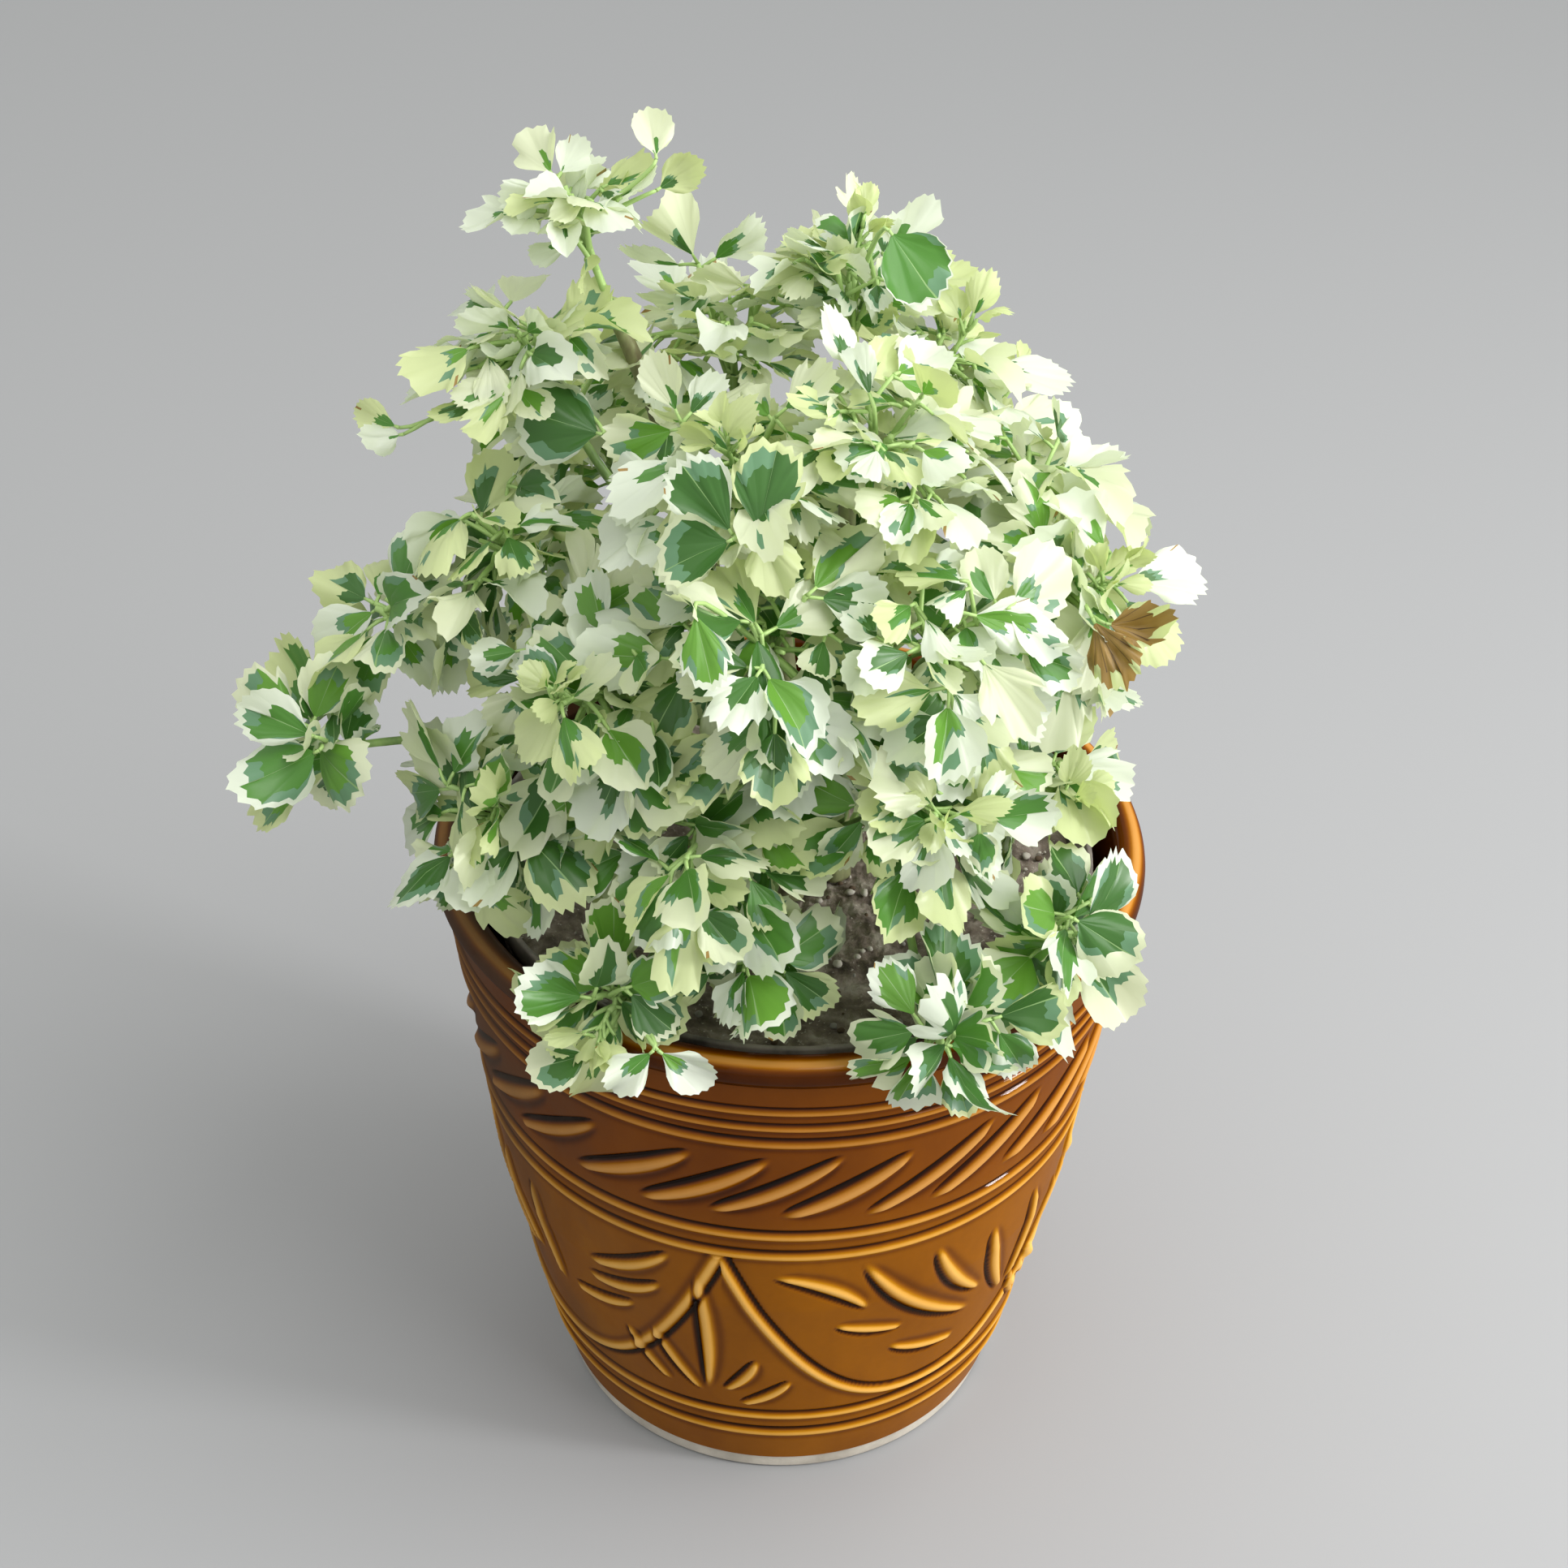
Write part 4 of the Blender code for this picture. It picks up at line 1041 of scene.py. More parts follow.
# The rings of a leaflet's grid: one by its base, then shares of the way out to the green's
# border, and from there to the edge
BASE_RING = 0.03
GREEN_RINGS = (0.42, 0.78, 1.0)
CREAM_RINGS = (0.38, 0.74, 1.0)
RING_COUNT = 1 + len(GREEN_RINGS) + len(CREAM_RINGS)

# How far out green must reach to show at all, and the greenness of a leaflet without cream
LEAST_GREEN = 0.135
ALL_GREEN = 1.5


def per_leaflet(leaflets, key, default=None):
    """One value or vector of each leaflet, shaped to meet arrays of leaflets, rays and rings."""
    return np.array([leaf.get(key, default) for leaf in leaflets])[:, None, None]


def green_borders(leaflets, rng):
    """How far out green reaches along each ray of each leaflet, as a share of the ray.

    The green is an oval round a line that leans off the midrib: its reach falls as
    sqrt(1 - (ray - lean)^2 / wide^2). A soft wave, a greener half, a small step at each vein
    and a slight raggedness are added to it.
    """
    count = len(leaflets)
    green = per_leaflet(leaflets, "green")[..., 0]
    lean = rng.normal(0.0, 0.22, (count, 1))
    wide = rng.uniform(0.62, 1.25, (count, 1)) + 0.45 * np.clip(green, 0.0, 1.0)
    oval = np.sqrt(np.clip(1 - ((RAYS - lean) / wide) ** 2, 0.0, 1.0))
    half = rng.normal(0.0, 0.12, (count, 1)) * np.sign(RAYS)
    swing, turns = rng.uniform(0.02, 0.12, (count, 1)), rng.uniform(3.0, 9.0, (count, 1))
    wave = swing * np.sin(RAYS * turns + rng.uniform(0, FULL_TURN, (count, 1)))
    area = rng.normal(0.0, 0.05, (count, AREAS.max() + 1))[:, AREAS]
    ragged = rng.normal(0.0, 0.022, (count, len(RAYS)))
    share = (0.08 + green * 1.12 + half + wave + area + ragged) * oval + 0.04
    return np.where(green > ALL_GREEN, 0.97, np.clip(share, 0.08, 0.90))


def leaflet_surfaces(leaflets, rng):
    """Points, quads and tones of many leaflets at once.

    A leaflet is a fan of rays from its base over a rounded outline: a ray at angle f ends at
    d cos f + sqrt(r^2 - d^2 sin^2 f) times the length, where F is the half angle,
    d = 1 / (1 + sin F) and r = 1 - d, plus its tooth and less its notch. The blade leaves its
    plane by a droop that grows as the square of the way out, a cup that grows as the square
    of the way across, a fold along the midrib, a swell between veins, a wave at the margin
    and a fine crinkle. A dead leaflet is also crumpled, by two sines of its rays and rings.
    """
    count = len(leaflets)
    base, along, facing = (per_leaflet(leaflets, key) for key in ("base", "along", "facing"))
    length, curl = per_leaflet(leaflets, "length"), per_leaflet(leaflets, "curl", 1.0)
    side = np.cross(facing, along)

    def vary(low, high, *shape):
        return rng.uniform(low, high, (count, *(shape or (1, 1))))

    half_angle = vary(0.64, 1.06)
    ray = RAYS[None, :, None] + vary(-0.01, 0.01, len(RAYS), 1)
    angle = ray * half_angle
    d = 1 / (1 + np.sin(half_angle))
    round_part = np.sqrt(np.clip((1 - d) ** 2 - (d * np.sin(angle)) ** 2, 0, None))
    distal = 1 - smooth(np.abs(ray), 0.78, 1.0)
    tooth = TEETH[None, :, None] * vary(0.002, 0.060, len(RAYS), 1)
    tooth = (tooth + vary(-0.016, 0.016, len(RAYS), 1)) * distal
    lobed = per_leaflet(leaflets, "lobed", 0)
    notch = np.where(lobed > 0, vary(0.16, 0.34), np.maximum(vary(-0.14, 0.12), 0))
    notch = notch * np.exp(-((np.abs(ray) - vary(0.44, 0.60)) / 0.09) ** 2)
    reach = (d * np.cos(angle) + round_part) * (1 + tooth - notch)
    border = green_borders(leaflets, rng)[..., None]
    rings = [np.full_like(border, BASE_RING)]
    rings += [BASE_RING + (border - BASE_RING) * share for share in GREEN_RINGS]
    rings += [border + (1 - border) * share for share in CREAM_RINGS]
    ring = np.concatenate(rings, -1)
    far = ring * reach
    turn = angle * (0.84 + 0.16 * ring)
    x = length * far * np.cos(turn)
    y = length * far * np.sin(turn) * vary(0.88, 1.10)
    phase = np.interp(RAYS, VEIN_PLACES, np.arange(len(VEIN_PLACES)) * np.pi)
    between = np.abs(np.sin(phase))[None, :, None]
    z = -vary(-0.15, 0.45) * curl * x ** 2 / length - vary(-0.9, 1.1) * curl * y ** 2 / length
    z += vary(-0.15, 0.62) * (np.sqrt(y ** 2 + (0.02 * length) ** 2) - 0.02 * length)
    z += vary(-0.6, 1.1) * curl * np.maximum(x - 0.55 * length, 0) ** 2 / length
    z += 0.006 * length * between * np.sqrt(ring)
    z += vary(0.04, 0.14) * length * ring ** 3 * np.sin(ray * vary(2.5, 6.5) + vary(0, FULL_TURN))
    crumple = 0.07 * np.sin(5.0 * ray + 7.0 * ring) + 0.05 * np.sin(11.0 * ray - 5.0 * ring)
    z += per_leaflet(leaflets, "dry", 0) * length * ring * crumple
    tones = leaflet_tones(leaflets, border[..., 0], rng)
    crinkle = vary(0.01, 0.045) * length * ring
    z += crinkle * np.sin(ray * vary(3.0, 8.0) + ring * vary(2.0, 7.0) + vary(0, FULL_TURN))
    z += rng.normal(0.0, 0.005, z.shape) * length * ring
    points = base + along * x[..., None] + side * y[..., None] + facing * z[..., None]
    faces = grid_faces(len(RAYS), RING_COUNT, False)[:, ::-1]
    return points, faces, tones


def leaflet_tones(leaflets, border, rng):
    """The tone of each face: green inside the border, with a paler midrib, and cream outside.

    Some areas end in a grey-green band, some leaflets have a grey-green island past it, and a
    few outer faces are scorched. A dead leaflet is brown, with dark veins and cream bits left
    at its edge.
    """
    count, sectors, bands = len(leaflets), len(RAYS) - 1, RING_COUNT - 1

    def choose(names, shares, key):
        """A tone for each leaflet, drawn by shares unless the leaflet names its own."""
        drawn = rng.choice([TONE[name] for name in names], (count, 1, 1), p=shares)
        own = np.array([TONE.get(leaf.get(key), -1) for leaf in leaflets])[:, None, None]
        return np.where(own >= 0, own, drawn)

    band, sector = np.arange(bands)[None, None, :], np.arange(sectors)[None, :, None]
    edge = band == bands - 1
    nearest = np.minimum(border[:, 1:], border[:, :-1])[..., None]
    furthest = np.maximum(border[:, 1:], border[:, :-1])[..., None]
    inside = (band < len(GREEN_RINGS)) & (furthest > LEAST_GREEN)
    greyed = (rng.random((count, AREAS.max() + 1)) < 0.45)[:, AREAS[:-1]][..., None]
    green = choose(("green_fresh", "green_deep", "green_mid"), (0.24, 0.36, 0.40), "green_tone")
    # Some grown leaflets get the darker yellow cream as painted shade.
    cream = choose(("cream_white", "cream", "cream_yellow"), (0.40, 0.38, 0.22), "cream")
    greyed = greyed & (band == len(GREEN_RINGS) - 1)
    tones = np.where(inside, np.where(greyed, TONE["green_grey"], green), cream)
    place = rng.integers(3, sectors - 3, (count, 1, 1))
    island = (np.abs(sector - place) < 2) & (band == len(GREEN_RINGS) + 1)
    island &= (per_leaflet(leaflets, "green") > 0.15) & (nearest < 0.6)
    island &= rng.random((count, 1, 1)) < 0.3
    tones = np.where(island, TONE["green_grey"], tones)
    tones = np.where(MIDRIB[None, :, None] & inside, TONE["vein"], tones)
    dry = per_leaflet(leaflets, "dry", 0) > 0
    scorched = (rng.random((count, sectors)) < 0.004)[..., None] & edge
    tones = np.where(dry | scorched, TONE["dry_brown"], tones)
    veined = VEIN_SECTORS[None, :, None] & (band > 0) & ~edge
    tones = np.where(dry & veined, TONE["dry_vein"], tones)
    tones = np.where(dry & edge & (sector % 7 > 3), TONE["cream_yellow"], tones)
    return np.broadcast_to(tones, (count, sectors, bands)).reshape(count, -1)


def leaf_finish(name, colour):
    """A leaf's satin skin over a blade that lets part of the light through, in its own tint."""
    finish = Finish("leaf_" + name, Base_Color=(*colour, 1.0), Roughness=0.36,
                    Specular_IOR_Level=0.5, Sheen_Weight=0.05)
    tree = finish.tree
    glow = (*np.array(colour) * GLOW_TINT, 1.0)
    through = finish.node("ShaderNodeBsdfTranslucent", None, {"Color": glow})
    mixed = finish.node("ShaderNodeMixShader", None, {0: THINNESS.get(name, USUAL_THINNESS)})
    tree.links.new(finish.shader.outputs[0], mixed.inputs[1])
    tree.links.new(through.outputs[0], mixed.inputs[2])
    tree.links.new(mixed.outputs[0], tree.nodes["Material Output"].inputs["Surface"])
    return finish.material


def leaf_finishes(settings):
    """One finish for each tone, tinted from the two colours that a user may change."""
    cream, green = np.array(settings.cream_colour), np.array(settings.green_colour)
    colours = {name: cream * shade for name, shade in CREAM_SHADES.items()}
    colours |= {name: green * shade for name, shade in GREEN_SHADES.items()}
    colours |= FIXED_LEAF_COLOURS
    return [leaf_finish(name, colours[name]) for name in LEAF_TONES]


def stalk_finish(name, colour, fleck):
    """Green skin with a finer, darker grain along it."""
    finish = Finish(name, Specular_IOR_Level=0.4)
    grain = finish.noise(240.0, 4.0, (1.0, 1.0, 0.35))
    finish.set("Base Color", finish.ramp(grain, ((0.32, fleck), (0.62, colour))))
    finish.set("Roughness", (0.5 + (grain - 0.5) * 0.3).clamped())
    finish.bump(grain, 0.3, 0.0004)
    return finish.material


def plain_finish(name, colour, roughness):
    """One even colour with a faint sheen."""
    finish = Finish(name, Base_Color=(*colour, 1.0), Roughness=roughness, Specular_IOR_Level=0.4)
    return finish.material


def colour_setting(name, description, default):
    """A colour that a user may change."""
    return FloatVectorProperty(name=name, description=description, subtype="COLOR", size=3,
                               min=0.0, max=1.0, default=default)


class AraliaPotSettings(bpy.types.PropertyGroup):
    glaze_colour: colour_setting(
        "Glaze", "Colour of the plain glazed wall", (0.272, 0.088, 0.0005))
    ridge_colour: colour_setting(
        "Ridges", "Colour where the glaze runs thin over raised edges", (0.64, 0.315, 0.050))
    pooled_colour: colour_setting(
        "Cuts", "Colour where the glaze pools in the carving", (0.012, 0.005, 0.0015))
    columns: IntProperty(
        name="Columns", description="Grid points round the carved wall", min=90, max=740,
        default=720)


class AraliaSoilSettings(bpy.types.PropertyGroup):
    stones: IntProperty(
        name="Stones", description="Pale bits that lie on the soil", min=0, max=900, default=420)
    stone_size: FloatProperty(
        name="Stone size", description="Width of a usual stone", unit="LENGTH", min=0.0005,
        max=0.006, default=0.0022)


class AraliaFoliageSettings(bpy.types.PropertyGroup):
    leaflet_length: FloatProperty(
        name="Leaflet", description="Length of a usual leaflet", unit="LENGTH", min=0.005,
        max=0.04, default=0.0162)
    fine_twigs: IntProperty(
        name="Fine twigs", description="Twigs added to a usual mass between those of the solids",
        min=0, max=60, default=19)
    young_share: FloatProperty(
        name="Young shoots", description="Share of the masses that end in young leaflets",
        subtype="FACTOR", min=0.0, max=1.0, default=0.4)
    cream_colour: colour_setting(
        "Cream", "Colour of the leaflets' margins", (0.745, 0.775, 0.575))
    green_colour: colour_setting(
        "Green", "Colour of the leaflets' middles", (0.066, 0.196, 0.028))


class AraliaStageSettings(bpy.types.PropertyGroup):
    floor_colour: colour_setting("Floor", "Colour of the plain floor", (0.325, 0.325, 0.33))
    key_power: FloatProperty(
        name="Key light", description="Strength of the large soft light", unit="POWER",
        min=0.0, max=500.0, default=15.0)
    sky_strength: FloatProperty(
        name="Sky", description="Strength of the even light from all round", min=0.0, max=5.0,
        default=0.87)


def dress(piece, slot, *nodes):
    """Every piece rides on the one body and hides the solids it stands for; the slot it is given
    is not used.
    """
    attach(piece, "root")
    if nodes:
        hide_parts(*nodes)


class ARALIA_OT_pot(bpy.types.Operator):
    """Make the carved and glazed pot"""

    bl_idname = "aralia.pot"
    bl_label = "Glazed pot"

    def execute(self, context):
        settings = context.scene.aralia_pot
        glaze, clay = glaze_finish(settings), clay_finish()
        columns = settings.columns
        lower = wall_band("pot_wall_lower", BAND_LOW, BAND_SEAM, columns, LOWER_ROWS, glaze)
        upper = wall_band("pot_wall_upper", BAND_SEAM, BAND_HIGH, columns, UPPER_ROWS, glaze)
        for piece in (lower, upper, self.make_lip(glaze), self.make_foot(clay)):
            dress(piece, "glazed_pot", "pot")
        return {"FINISHED"}

    def make_lip(self, glaze):
        """The rolled lip, the inside of the wall and the floor, turned from one profile.

        The lip's outer edge is paler, by a bell curve of the distance from it: glaze that thins
        there, and a painted highlight along it.
        """
        edge, top = wall_radius(BAND_HIGH), POT_HEIGHT
        outer, inner = (RIM_RADIUS, top - 0.0042), (LIP_INNER_RADIUS, top - 0.004)
        crest = (RIM_RADIUS - 0.0035, top)
        profile = round_corner((edge, BAND_HIGH), (edge + 0.0014, BAND_HIGH + 0.001), outer, 6)
        profile += round_corner(outer, (RIM_RADIUS + 0.0002, top), crest, 8)[1:]
        profile += round_corner(crest, (LIP_INNER_RADIUS, top), inner, 8)[1:]
        heights = np.linspace(0.150, 0.018, 12)
        profile += [(float(wall_radius(z)) - WALL_THICKNESS, z) for z in heights]
        profile += round_corner((0.0544, 0.014), (0.0520, FLOOR_TOP), (0.046, FLOOR_TOP), 6)
        profile += [(radius, FLOOR_TOP) for radius in (0.030, 0.012, POLE_RADIUS)]
        radius, height = np.array(profile).T
        # Painted highlight: a pale line along the lip's outer edge, over glaze that thins there.
        from_edge = np.hypot(radius - RIM_RADIUS + 0.0022, height - top)
        tone = 0.28 + 0.70 * np.exp(-(from_edge / 0.0014) ** 2)
        lip = turned("pot_lip_and_inside", profile, TURNED_COLUMNS, glaze)
        mark_relief(lip, np.broadcast_to(tone[:, None], (len(profile), TURNED_COLUMNS)))
        return lip

    def make_foot(self, clay):
        """The unglazed underside and foot, up to the edge of the glaze."""
        edge = float(wall_radius(BAND_LOW))
        profile = [(radius, 0.0) for radius in (POLE_RADIUS, 0.030, 0.0545)]
        profile += round_corner((0.0548, 0.0), (0.0564, 0.0), (0.0566, 0.0012), 4)
        profile += [(0.0567, 0.0036), (edge - 0.0008, 0.0048), (edge, BAND_LOW)]
        return turned("pot_foot", profile, TURNED_COLUMNS, clay)


class ARALIA_OT_soil(bpy.types.Operator):
    """Make the nursery pot, the soil in it and the stones on the soil"""

    bl_idname = "aralia.soil"
    bl_label = "Nursery pot and soil"

    def execute(self, context):
        self.make_liner()
        self.make_soil()
        self.make_stones(context.scene.aralia_soil)
        return {"FINISHED"}

    def make_liner(self):
        """The growing pot: a thin shell with a rolled rim, turned from one profile."""
        finish = Finish("nursery_plastic", Specular_IOR_Level=0.5)
        dust = finish.step(finish.noise(70.0, 6.0), 0.30, 0.62)
        scratch = finish.noise(500.0, 3.0, (1.0, 1.0, 0.2))
        finish.set("Base Color", finish.mix(dust * 0.8, LINER_BLACK, LINER_DUST))
        finish.set("Roughness", (0.42 + dust * 0.35 + (scratch - 0.5) * 0.2).clamped())
        finish.bump(scratch, 0.2, 0.0003)
        low, rim, top = LINER_FLOOR, LINER_RIM_RADIUS, LINER_RIM
        profile = [(POLE_RADIUS, low), (0.044, low), (0.0468, low + 0.001)]
        profile += [(rim - 0.0016, top - 0.0066)]
        for start, corner, end, steps in (
            ((0.0014, 0.006), (0.0, 0.006), (0.0, 0.005), 3),
            ((0.0, 0.0008), (0.0, 0.0), (0.0007, 0.0), 4),
            ((0.0009, 0.0), (0.0014, 0.0), (0.0015, 0.0008), 4),
        ):
            places = ((rim - inset, top - drop) for inset, drop in (start, corner, end))
            profile += round_corner(*places, steps)
        inside = low + LINER_THICKNESS
        profile += [(0.0706, SOIL_LEVEL - 0.001), (0.0456, inside), (POLE_RADIUS, inside)]
        shell = turned("nursery_pot_shell", profile, LINER_COLUMNS, finish.material)
        dress(shell, "nursery_plastic", "nursery_pot")

    def make_soil(self):
        """A disc with a side, whose height is a sum of bell-shaped clods and of waves."""
        finish = Finish("potting_soil", Specular_IOR_Level=0.3)
        clods, grit = finish.noise(160.0, 6.0), finish.noise(900.0, 4.0)
        colour = finish.ramp(clods, ((0.30, SOIL_DAMP), (0.50, SOIL_PLAIN), (0.70, SOIL_DRY)))
        speck = finish.step(grit, 0.62, 0.70)
        finish.set("Base Color", finish.mix(speck * 0.8, colour, SOIL_SPECK))
        finish.set("Roughness", (0.86 + (grit - 0.5) * 0.2).clamped())
        finish.bump(clods * 0.6 + grit * 0.4, 0.9, 0.0014)
        rng = np.random.default_rng(SOIL_SEED)
        rows, columns = SOIL_GRID
        ring = np.linspace(0.0, 1.0, rows)[:, None] ** 0.8
        angle = round_the_axis(columns)
        radius = ring * SOIL_RADIUS
        x, y = radius * np.sin(angle), -radius * np.cos(angle)
        height = np.zeros_like(x)
        for _ in range(CLOD_COUNT):
            cx, cy = rng.uniform(-0.07, 0.07, 2)
            size = rng.uniform(0.0018, 0.0065)
            height += size * 0.22 * np.exp(-((x - cx) ** 2 + (y - cy) ** 2) / (size * 0.7) ** 2)
        for _ in range(WAVE_COUNT):
            way = rng.normal(0, 1, 2) * rng.uniform(300, 2200)
            height += 0.00012 * np.sin(x * way[0] + y * way[1] + rng.uniform(0, FULL_TURN))
        height *= 1 - smooth(ring, 0.985, 1.0)
        z = SOIL_LEVEL - 0.0004 + height
        z[-1] = SOIL_LEVEL - 0.006
        points = np.stack([x, y, z], -1).reshape(-1, 3)
        faces = grid_faces(rows, columns, True)
        dress(new_piece("soil_surface", points, faces, [finish.material]), "soil", "soil")

    def make_stones(self, settings):
        """Rounded bits: a sphere's grid, each squashed and dented on its own."""
        rng = np.random.default_rng(STONE_SEED)
        count, (rows, columns) = settings.stones, STONE_GRID
        polar = np.linspace(0.02, np.pi - 0.02, rows)[:, None]
        angle = np.arange(columns) * 2 * np.pi / columns
        x, y = np.sin(polar) * np.cos(angle), np.sin(polar) * np.sin(angle)
        ball = np.stack(np.broadcast_arrays(x, y, np.cos(polar)), -1)
        ring = STONE_RING * np.sqrt(rng.uniform(0.0, 1.0, count))
        turn = rng.uniform(0, 2 * np.pi, count)
        size = settings.stone_size * rng.lognormal(-0.25, 0.42, count)
        height = SOIL_LEVEL + size * 0.22
        centres = np.stack([ring * np.cos(turn), ring * np.sin(turn), height], -1)
        shape = rng.uniform(0.55, 1.0, (count, 1, 1, 3)) * (1, 1, 0.7)
        dent = 1 + rng.uniform(-0.16, 0.16, (count, rows, columns, 1))
        dent[:, 0], dent[:, -1] = 1.0, 1.0
        points = centres[:, None, None] + ball * shape * dent * size[:, None, None, None] / 2
        offsets = np.arange(count)[:, None, None] * rows * columns
        faces = closed_faces(rows, columns)[:, ::-1] + offsets
        shares = [share for *_, share in STONE_KINDS.values()]
        tones = np.repeat(rng.choice(len(shares), count, p=shares), faces.shape[1])
        materials = [plain_finish(name, *looks) for name, (*looks, _) in STONE_KINDS.items()]
        points, faces = points.reshape(-1, 3), faces.reshape(-1, 4)
        dress(new_piece("soil_stones", points, faces, materials, tones), "soil")


class ARALIA_OT_limbs(bpy.types.Operator):
    """Make the stems with their bark and the green boughs"""

    bl_idname = "aralia.limbs"
    bl_label = "Stems and boughs"

    def execute(self, context):
        rng = np.random.default_rng(BARK_SEED)
        stems, boughs, _ = grow_limbs()
        relief = self.bark(rng, len(stems), STEM_GRID, 1.0)
        radii = [STEM_RADII] * len(stems)
        points, faces = curve_tubes(stems.values(), radii, STEM_GRID, STEM_SWELL, relief)
        bark = stalk_finish("stem_bark", BARK_SKIN, BARK_FLECK)
        dress(new_piece("stem_bark_relief", points, faces, [bark]), "bark", *stems)
        relief = self.bark(rng, len(boughs), BOUGH_GRID, 0.4)
        radii = [BOUGH_RADII] * len(boughs)
        points, faces = curve_tubes(boughs.values(), radii, BOUGH_GRID, BOUGH_SWELL, relief)
        skin = stalk_finish("bough_skin", BOUGH_SKIN, BOUGH_FLECK)
        nodes = ["bough_" + name for name in boughs]
        dress(new_piece("bough_skins", points, faces, [skin]), "green_bark", *nodes)
        return {"FINISHED"}

    def bark(self, rng, count, grid, share):
        """Relief of a young stem: ring scars at uneven heights, and shallow furrows along it.

        It multiplies the radius. A scar is a bell curve of the way along, and a furrow is a
        sine of the angle round, twisted along the stem.
        """
        steps, sides = grid
        along = np.linspace(0, 1, steps + 1)[None, :, None]
        angle = np.arange(sides)[None, None, :] * 2 * np.pi / sides
        relief = np.ones((count, steps + 1, sides))
        for _ in range(SCAR_COUNT):
            place = rng.uniform(0.04, 0.97, (count, 1, 1))
            scar = place + 0.004 * np.sin(angle + rng.uniform(0, FULL_TURN))
            relief += share * SCAR_DEPTH * np.exp(-((along - scar) / 0.006) ** 2)
        for _ in range(FURROW_COUNT):
            turns, phase = rng.integers(2, 7), rng.uniform(0, FULL_TURN, (count, 1, 1))
            twist = along * rng.uniform(-9, 9)
            relief += share * FURROW_DEPTH * np.sin(turns * angle + phase + twist)
        return relief


class ARALIA_OT_foliage(bpy.types.Operator):
    """Make the twigs, leaf stalks and variegated leaflets of every mass"""

    bl_idname = "aralia.foliage"
    bl_label = "Foliage"

    def execute(self, context):
        settings = context.scene.aralia_foliage
        foliage = grow_foliage(settings)
        self.make_twigs(foliage)
        self.make_leaves(foliage, leaf_finishes(settings))
        return {"FINISHED"}

    def make_twigs(self, foliage):
        """The twigs and the thinner leaf stalks, which end inside one another, as one mesh."""
        curves, ends = zip(*((twig[:3], twig[3:]) for twig in foliage.twigs))
        points, faces = curve_tubes(curves, ends, TWIG_GRID)
        ends = [LEAF_STALK_RADII] * len(foliage.stalks)
        more_points, more_faces = curve_tubes(foliage.stalks, ends, STALK_GRID)
        faces = np.concatenate((faces, more_faces + len(points)))
        points = np.concatenate((points, more_points))
        skin = plain_finish("twig_skin", TWIG_SKIN, 0.5)
        piece = new_piece("twigs_and_leaf_stalks", points, faces, [skin])
        dress(piece, "foliage", *["foliage_" + mass[0] for mass in MASSES])

    def make_leaves(self, foliage, materials):
        """The leaflets, less those that would pass through the pot, in four pieces by height."""
        rng = np.random.default_rng(LEAF_SEED)
        points, faces, tones = leaflet_surfaces(foliage.leaflets, rng)
        kept = ~in_pot(points, LEAFLET_CLEARANCE).reshape(len(points), -1).any(1)
        height = points[..., 2].mean((1, 2))
        edges = np.quantile(height[kept], (0.0, 0.25, 0.5, 0.75, 1.0))
        edges[-1] += 1.0
        for name, low, high in zip(("lowest", "low", "high", "highest"), edges[:-1], edges[1:]):
            chosen = np.flatnonzero(kept & (height >= low) & (height < high))
            offsets = (np.arange(len(chosen)) * len(RAYS) * RING_COUNT)[:, None, None]
            own_points, own_faces = points[chosen].reshape(-1, 3), (faces + offsets).reshape(-1, 4)
            piece = new_piece("leaflets_" + name, own_points, own_faces, materials,
                              tones[chosen].ravel())
            dress(piece, "foliage")


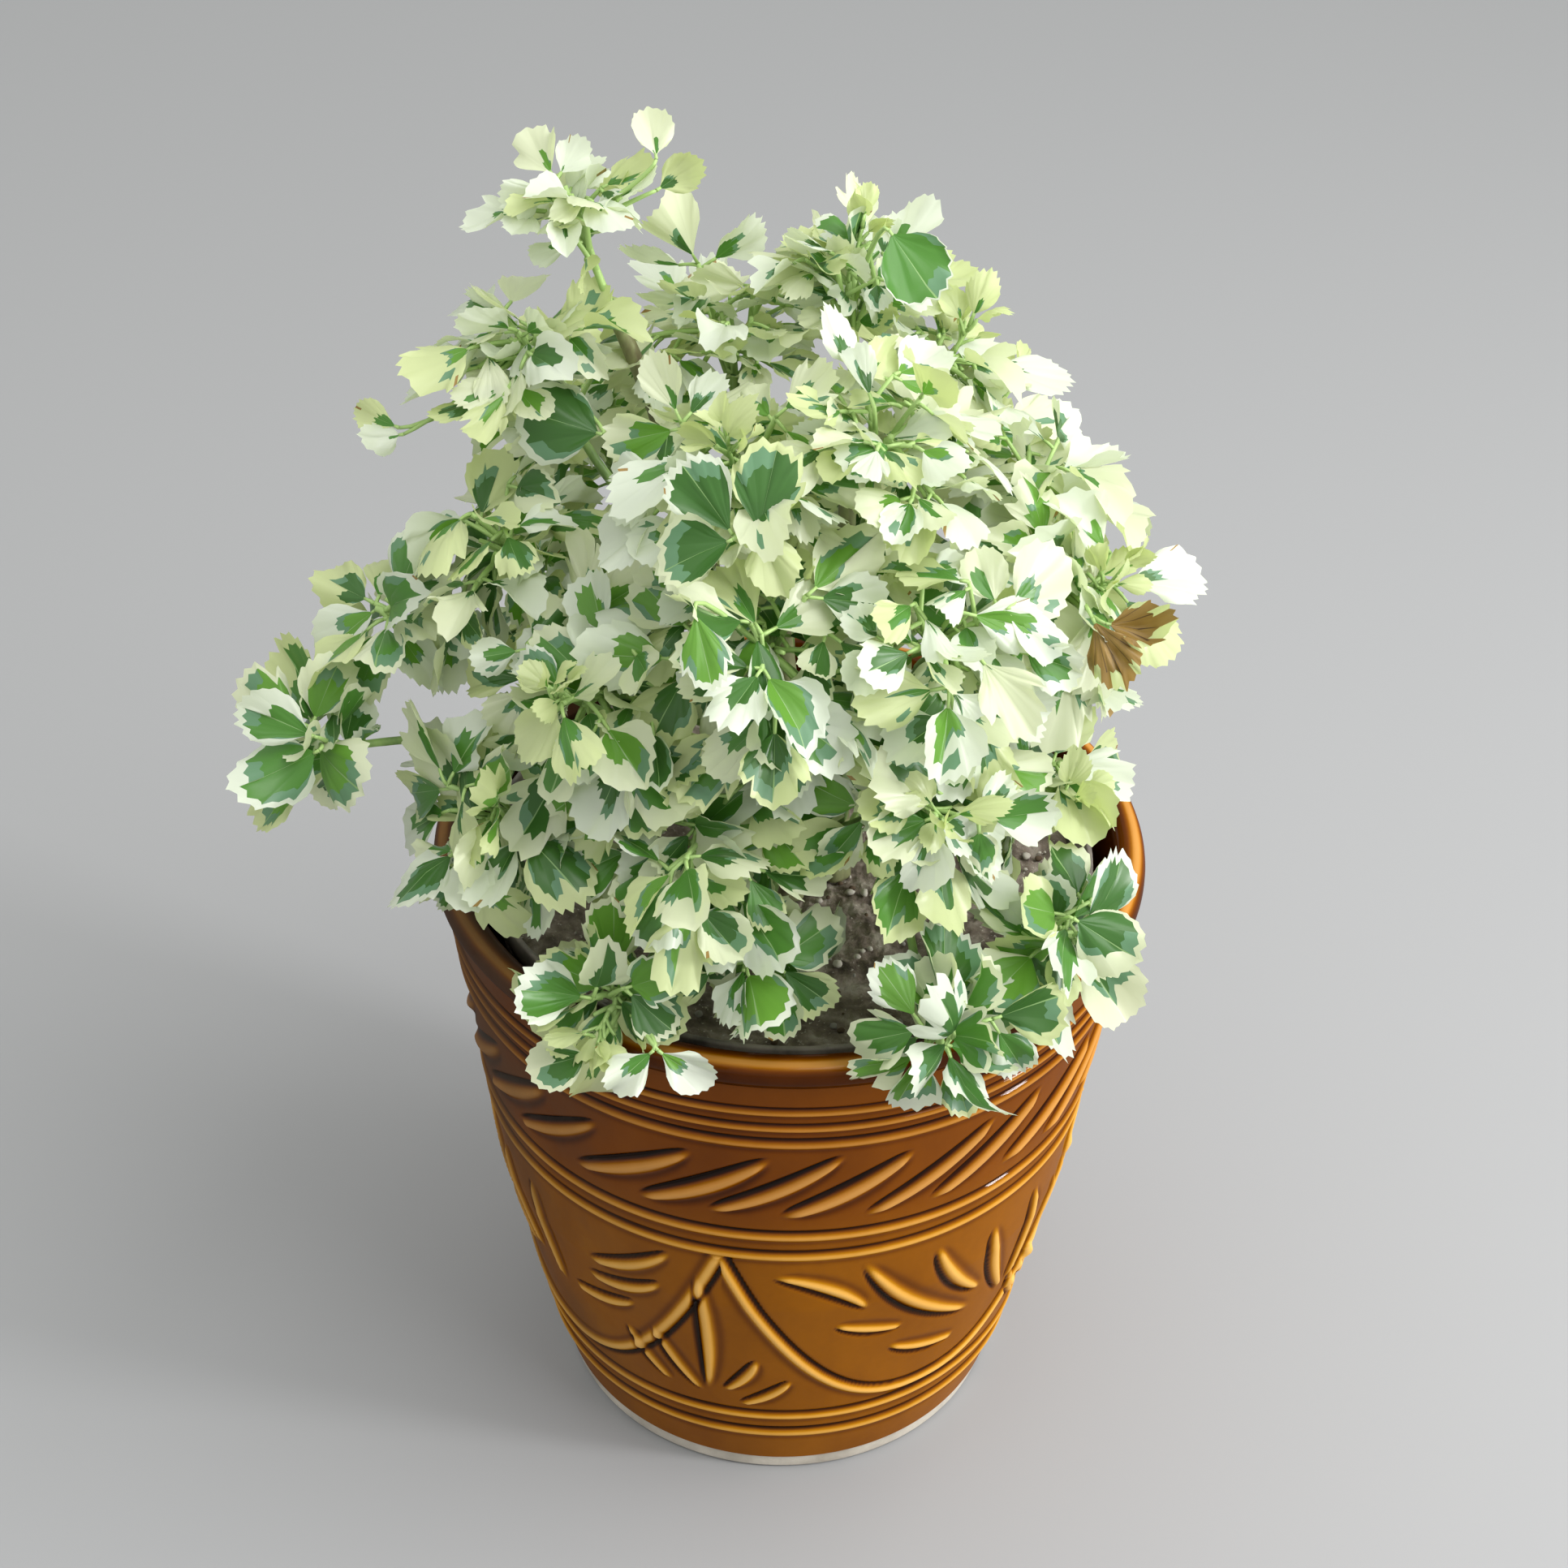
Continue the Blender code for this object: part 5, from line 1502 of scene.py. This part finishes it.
class ARALIA_OT_stage(bpy.types.Operator):
    """Make the plain floor, the soft lights and the camera"""

    bl_idname = "aralia.stage"
    bl_label = "Stage"

    def execute(self, context):
        settings = context.scene.aralia_stage
        corners = np.array([(-1, -1, 0), (1, -1, 0), (1, 1, 0), (-1, 1, 0)]) * FLOOR_HALF_WIDTH
        corners[:, 2] = FLOOR_LEVEL
        material = plain_finish("plain_floor", tuple(settings.floor_colour), 0.85)
        new_piece("floor", corners, np.array([[0, 1, 2, 3]]), [material])
        for name, (place, aim, size, share) in LIGHTS.items():
            self.light(context, name, place, aim, size, settings.key_power * share)
        world = bpy.data.worlds.new("even_sky")
        world.use_nodes = True
        backdrop = world.node_tree.nodes["Background"]
        backdrop.inputs["Color"].default_value = SKY_TINT
        backdrop.inputs["Strength"].default_value = settings.sky_strength
        context.scene.world = world
        context.scene.view_settings.view_transform = "Standard"
        self.camera(context)
        return {"FINISHED"}

    def light(self, context, name, place, aim, size, power):
        """A soft rectangle of light that the camera doesn't see."""
        lamp = bpy.data.lights.new(name, "AREA")
        lamp.shape = "RECTANGLE"
        lamp.size, lamp.size_y = size
        lamp.energy = power
        holder = bpy.data.objects.new(name, lamp)
        holder.location = place
        way = np.array(aim) - np.array(place)
        holder.rotation_euler = Vector(way).to_track_quat("-Z", "Y").to_euler()
        holder.visible_camera = False
        context.scene.collection.objects.link(holder)

    def camera(self, context):
        """The photograph's view: down by its elevation, then turned by its roll."""
        tilt, roll = math.radians(VIEW_ELEVATION), math.radians(VIEW_ROLL)
        forward = np.array((0.0, math.cos(tilt), -math.sin(tilt)))
        right, up = np.array((1.0, 0.0, 0.0)), np.array((0.0, math.sin(tilt), math.cos(tilt)))
        right, up = (right * math.cos(roll) + up * math.sin(roll),
                     up * math.cos(roll) - right * math.sin(roll))
        lens = bpy.data.cameras.new("view")
        lens.sensor_fit = "HORIZONTAL"
        lens.angle = math.radians(VIEW_ANGLE)
        holder = bpy.data.objects.new("view", lens)
        matrix = np.identity(4)
        matrix[:3, 0], matrix[:3, 1], matrix[:3, 2] = right, up, -forward
        matrix[:3, 3] = np.array(VIEW_AIM) - forward * VIEW_DISTANCE
        holder.matrix_world = Matrix(matrix.tolist())
        context.scene.collection.objects.link(holder)
        context.scene.camera = holder


class ARALIA_PT_panel(bpy.types.Panel):
    """Lists the pieces of the potted aralia"""

    bl_label = "Potted aralia"
    bl_idname = "ARALIA_PT_panel"
    bl_space_type = "VIEW_3D"
    bl_region_type = "UI"
    bl_category = "Aralia"

    def draw(self, context):
        """Each group's settings, then the button that makes it."""
        for name, operator in GROUPS.items():
            settings = getattr(context.scene, name, None)
            if settings is not None:
                for label in settings.__annotations__:
                    self.layout.prop(settings, label)
            self.layout.operator(operator.bl_idname)


GROUPS = {
    "aralia_stage": ARALIA_OT_stage,
    "aralia_pot": ARALIA_OT_pot,
    "aralia_soil": ARALIA_OT_soil,
    "aralia_limbs": ARALIA_OT_limbs,
    "aralia_foliage": ARALIA_OT_foliage,
}
SETTINGS = {
    "aralia_stage": AraliaStageSettings,
    "aralia_pot": AraliaPotSettings,
    "aralia_soil": AraliaSoilSettings,
    "aralia_foliage": AraliaFoliageSettings,
}
CLASSES = (*SETTINGS.values(), *GROUPS.values(), ARALIA_PT_panel)


def register():
    for kind in CLASSES:
        bpy.utils.register_class(kind)
    for name, kind in SETTINGS.items():
        setattr(bpy.types.Scene, name, PointerProperty(type=kind))


def unregister():
    for name in SETTINGS:
        delattr(bpy.types.Scene, name)
    for kind in reversed(CLASSES):
        bpy.utils.unregister_class(kind)


def main():
    """Makes the stage and every piece."""
    register()
    bpy.ops.aralia.stage()
    bpy.ops.aralia.pot()
    bpy.ops.aralia.soil()
    bpy.ops.aralia.limbs()
    bpy.ops.aralia.foliage()


if __name__ == "__main__":
    main()
